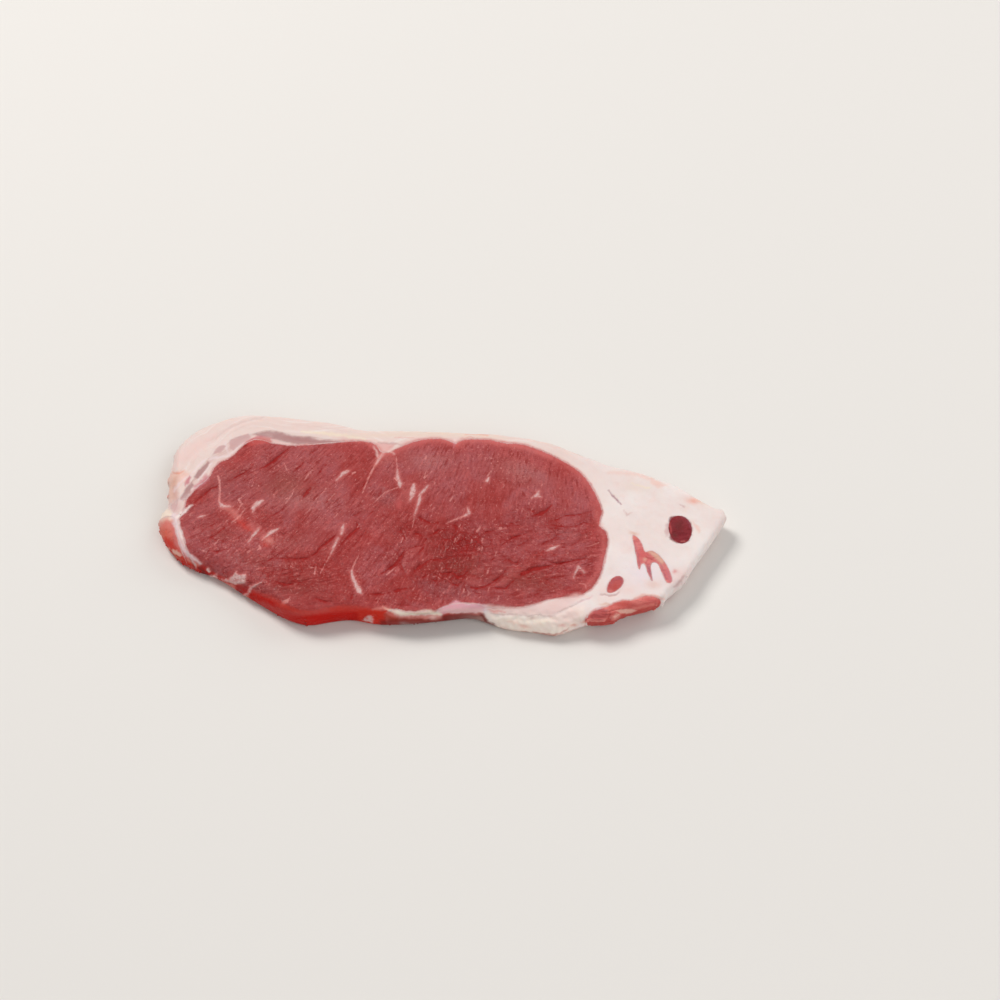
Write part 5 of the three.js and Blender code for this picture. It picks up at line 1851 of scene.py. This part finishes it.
@dataclass(frozen=True)
class FatFinish(Finish):
    """Cool waxy fat, or with other colours the silverskin."""

    name: str
    base: Colour = (229, 213, 208)
    pale: Colour = (232, 221, 217)
    pink: Colour = (226, 198, 190)
    rub: Colour = (214, 130, 122)
    meat: Colour = (204, 116, 110)
    # the colour of a painted glow, light shining through the fat's low sides
    glow: Colour = (206, 128, 104)
    cap: Colour = (224, 200, 192)
    roughness: float = 0.48

    def material(self) -> bpy.types.Material:
        """Makes the fat's material.

        Returns:
            The material.
        """
        g = Graph(self.name)
        place = g.place()
        blot = g.noise(place, 0.22, 3.0, 0.6)
        grit = g.noise(place, 1.1, 3.0, 0.6)
        edge, cap, rub = g.attribute("edge"), g.attribute("cap"), g.attribute("rub")
        level = g.node("ShaderNodeSeparateXYZ", {}, {0: place}, "X")
        height = g.height(place)
        run = g.node("ShaderNodeCombineXYZ", {}, {0: edge * 0.8, 1: level * 0.04, 2: height * 0.2})
        layers = g.noise(run, 1.0, 3.0, 0.55)
        ragged = (blot - 0.5) * 1.6 + (grit - 0.5) * 0.8
        # painted glow: the low part of the fat's sides is tinted orange
        low = g.attribute("side") * (height + ragged).step(5.0, 1.0)
        colour = g.blend(g.noise(place, 0.06).step(0.36, 0.64), tone(*self.base), tone(*self.pale))
        tints = [
            (blot.step(0.50, 0.76) * 0.35, self.pink),
            (cap * 0.8, self.cap),
            (layers.step(0.48, 0.70) * cap * 0.5, self.pink),
            (layers.step(0.46, 0.28) * cap * 0.6, self.pale),
            (grit.step(0.56, 0.74) * 0.12, self.pink),
            ((edge + ragged * 0.8).step(1.2, -0.1) * rub * 0.38, self.rub),
            ((edge + ragged * 1.1).step(0.55, 0.05) * rub * 0.4, self.meat),
            (low * 0.55, self.glow),
        ]
        settings = {
            "Base Color": g.covered(g.layered(colour, tints)),
            "Roughness": blot.step(0.35, 0.65) * 0.14 + (self.roughness - 0.07),
            "Subsurface Weight": 0.30,
            "Subsurface Radius": (1.0, 0.62, 0.5),
            "Subsurface Scale": 1.2 * MM,
            "Specular IOR Level": 0.12,
        }
        return g.close(settings, blot * 0.5 + grit * 0.3 + layers * cap * 0.4, 0.4 * MM, 0.5)


# Light, floor and camera


@dataclass
class Studio:
    """The plain floor, the soft light and the camera at the photo's angle."""

    eye: tuple[float, float, float] = (25.28, -479.31, 687.81)
    look_down: float = 54.25
    focal_pixels: float = 1924.0
    picture: float = 1000.0
    sensor: float = 36.0
    floor_side: float = 6.0
    floor_colour: Colour = (226, 222, 217)
    room_colour: tuple[float, float, float, float] = (0.95, 0.97, 1.0, 1.0)
    room_strength: float = 0.25

    def build(self) -> None:
        """Makes the floor, the lights and the camera."""
        self.floor()
        self.lamp("key", (-1.00, 1.00, 1.70), 0.8, 33.5, (1.0, 0.985, 0.965))
        self.lamp("fill", (0.9, -1.1, 1.2), 1.8, 15.5, (0.99, 0.985, 0.98))
        self.lamp("back", (1.3, 0.9, 0.9), 1.2, 9.0, (1.0, 1.0, 1.0))
        world = bpy.data.worlds.new("soft_room")
        world.use_nodes = True
        shade = world.node_tree.nodes["Background"]
        shade.inputs["Color"].default_value = self.room_colour
        shade.inputs["Strength"].default_value = self.room_strength
        bpy.context.scene.world = world
        bpy.context.scene.view_settings.view_transform = "Standard"
        self.camera()

    def floor(self) -> None:
        """Lays the pale floor."""
        bpy.ops.object.select_all(action="DESELECT")
        bpy.ops.mesh.primitive_plane_add(size=self.floor_side, location=(0.0, 0.0, 0.0))
        floor = bpy.context.object
        floor.name = "floor"
        g = Graph("floor_paper")
        settings = {"Base Color": tone(*self.floor_colour), "Roughness": 0.9, "Specular IOR Level": 0.1}
        g.show(g.node("ShaderNodeBsdfPrincipled", {}, settings))
        floor.data.materials.append(g.material)

    def lamp(
        self, name: str, place: tuple[float, float, float], size: float, power: float, colour: Colour
    ) -> None:
        """Hangs a soft square lamp that faces the steak.

        Args:
            name: the lamp's name.
            place: where it hangs, in metres.
            size: its side, in metres.
            power: its watts.
            colour: its linear colour.
        """
        bpy.ops.object.light_add(type="AREA", location=place)
        lamp = bpy.context.object
        lamp.name = name
        lamp.data.size = size
        lamp.data.energy = power
        lamp.data.color = colour
        lamp.rotation_euler = (-Vector(place)).to_track_quat("-Z", "Y").to_euler()

    def camera(self) -> None:
        """Sets the camera where the photo was taken from."""
        data = bpy.data.cameras.new("photo_camera")
        data.sensor_width = self.sensor
        data.lens = self.sensor * self.focal_pixels / self.picture
        data.clip_start = 0.01
        camera = bpy.data.objects.new("photo_camera", data)
        camera.location = Vector(self.eye) * MM
        camera.rotation_euler = (math.radians(90.0 - self.look_down), 0.0, 0.0)
        bpy.context.scene.collection.objects.link(camera)
        bpy.context.scene.camera = camera


class Slot(Enum):
    """The record's material slots."""

    LEAN = "lean"
    PALE_LEAN = "pale_lean"
    DARK_LEAN = "dark_lean"
    GRISTLE = "gristle"
    FAT = "fat"


MEATS = ("eye_muscle", "side_muscle", "flank_muscle", "branch_muscle", "round_muscle", "oval_muscle")


def finishes() -> dict[str, Finish]:
    """Lists the finishes.

    Returns:
        The finish of each tissue, by its CAD node.
    """
    return {
        "eye_muscle": LeanFinish("lean_meat", grounded=True),
        "side_muscle": LeanFinish(
            "side_meat", base=(196, 84, 76), mauve=(206, 112, 104), red=(186, 60, 50), streak=(176, 56, 48),
            rim=(214, 150, 142), shoulder_highlight=(190, 70, 58), side=(172, 30, 18), fringe=0.4,
        ),
        "flank_muscle": LeanFinish(
            "flank_meat", base=(222, 120, 112), mauve=(226, 136, 128), red=(206, 92, 86),
            streak=(190, 76, 72), rim=(230, 150, 142), shoulder_highlight=(214, 104, 98), side=(190, 74, 68),
        ),
        "branch_muscle": LeanFinish(
            "branch_meat", base=(206, 113, 115), mauve=(218, 130, 128), red=(202, 96, 94),
            streak=(176, 66, 66), rim=(216, 128, 122), halo=(222, 144, 136), shadow=(168, 70, 72),
            fringe=0.12,
        ),
        "round_muscle": LeanFinish(
            "round_meat", base=(124, 38, 46), mauve=(120, 42, 54), red=(128, 34, 42), streak=(94, 20, 28),
            rim=(150, 60, 64), halo=(150, 66, 72), light=(146, 62, 68), shadow=(96, 24, 30), fringe=-1.0,
        ),
        "oval_muscle": LeanFinish(
            "oval_meat", base=(188, 94, 94), mauve=(190, 104, 104), red=(180, 80, 80), streak=(158, 56, 56),
            shadow=(152, 60, 62), light=(206, 124, 120), fringe=0.12,
        ),
        "silverskin": FatFinish(
            "silverskin", base=(198, 160, 155), pale=(222, 194, 189), pink=(196, 150, 146), roughness=0.36
        ),
        "fat_cap": FatFinish("cool_fat"),
    }


def tissues() -> list[Tissue]:
    """Lists the steak's tissues.

    Returns:
        The tissues, in the order in which they are built.
    """
    lean, pale, dark = Slot.LEAN.value, Slot.PALE_LEAN.value, Slot.DARK_LEAN.value
    gristle, fat = Slot.GRISTLE.value, Slot.FAT.value
    finish = finishes()
    small: dict[str, Any] = {"voxel": 0.35 * MM, "swell": 0.12 * MM, "lift": 0.06, "roughness": 0.3}

    def of(kind: type[Tissue], node: str, slot: str, **settings: Any) -> Tissue:
        """A tissue with its node's finish."""
        return kind(node, slot, finish[node], **settings)

    return [
        of(Muscle, "eye_muscle", lean),
        of(Muscle, "side_muscle", lean, voxel=0.4 * MM, roughness=0.5),
        of(Muscle, "flank_muscle", lean, voxel=0.4 * MM, roughness=0.8, daubs=(FLANK_DAUBS,)),
        of(Muscle, "branch_muscle", pale, daubs=(BRANCH_DAUBS,), **small),
        of(Muscle, "round_muscle", dark, daubs=(ROUND_DAUBS,), **small),
        of(Muscle, "oval_muscle", lean, daubs=(OVAL_DAUBS,), **small),
        of(Fat, "silverskin", gristle, voxel=0.4 * MM, lumps=0.06, sink=0.12, lift=0.02, meats=MEATS[:1]),
        of(Fat, "fat_cap", fat, lift=0.04, lobe_skin=2.5 * MM, meats=MEATS),
    ]


def main() -> None:
    """Builds the steak's tissues and the studio round them."""
    logging.basicConfig(level=logging.INFO, format="%(name)s: %(message)s")
    studio = Studio()
    studio.build()
    envelope = Envelope()
    x, y, z = studio.eye
    brush = Brush(Grain(), (x + PLAN_ORIGIN[0], y + PLAN_ORIGIN[1], z))
    for tissue in tissues():
        tissue.build(envelope, brush)


if __name__ == "__main__":
    main()
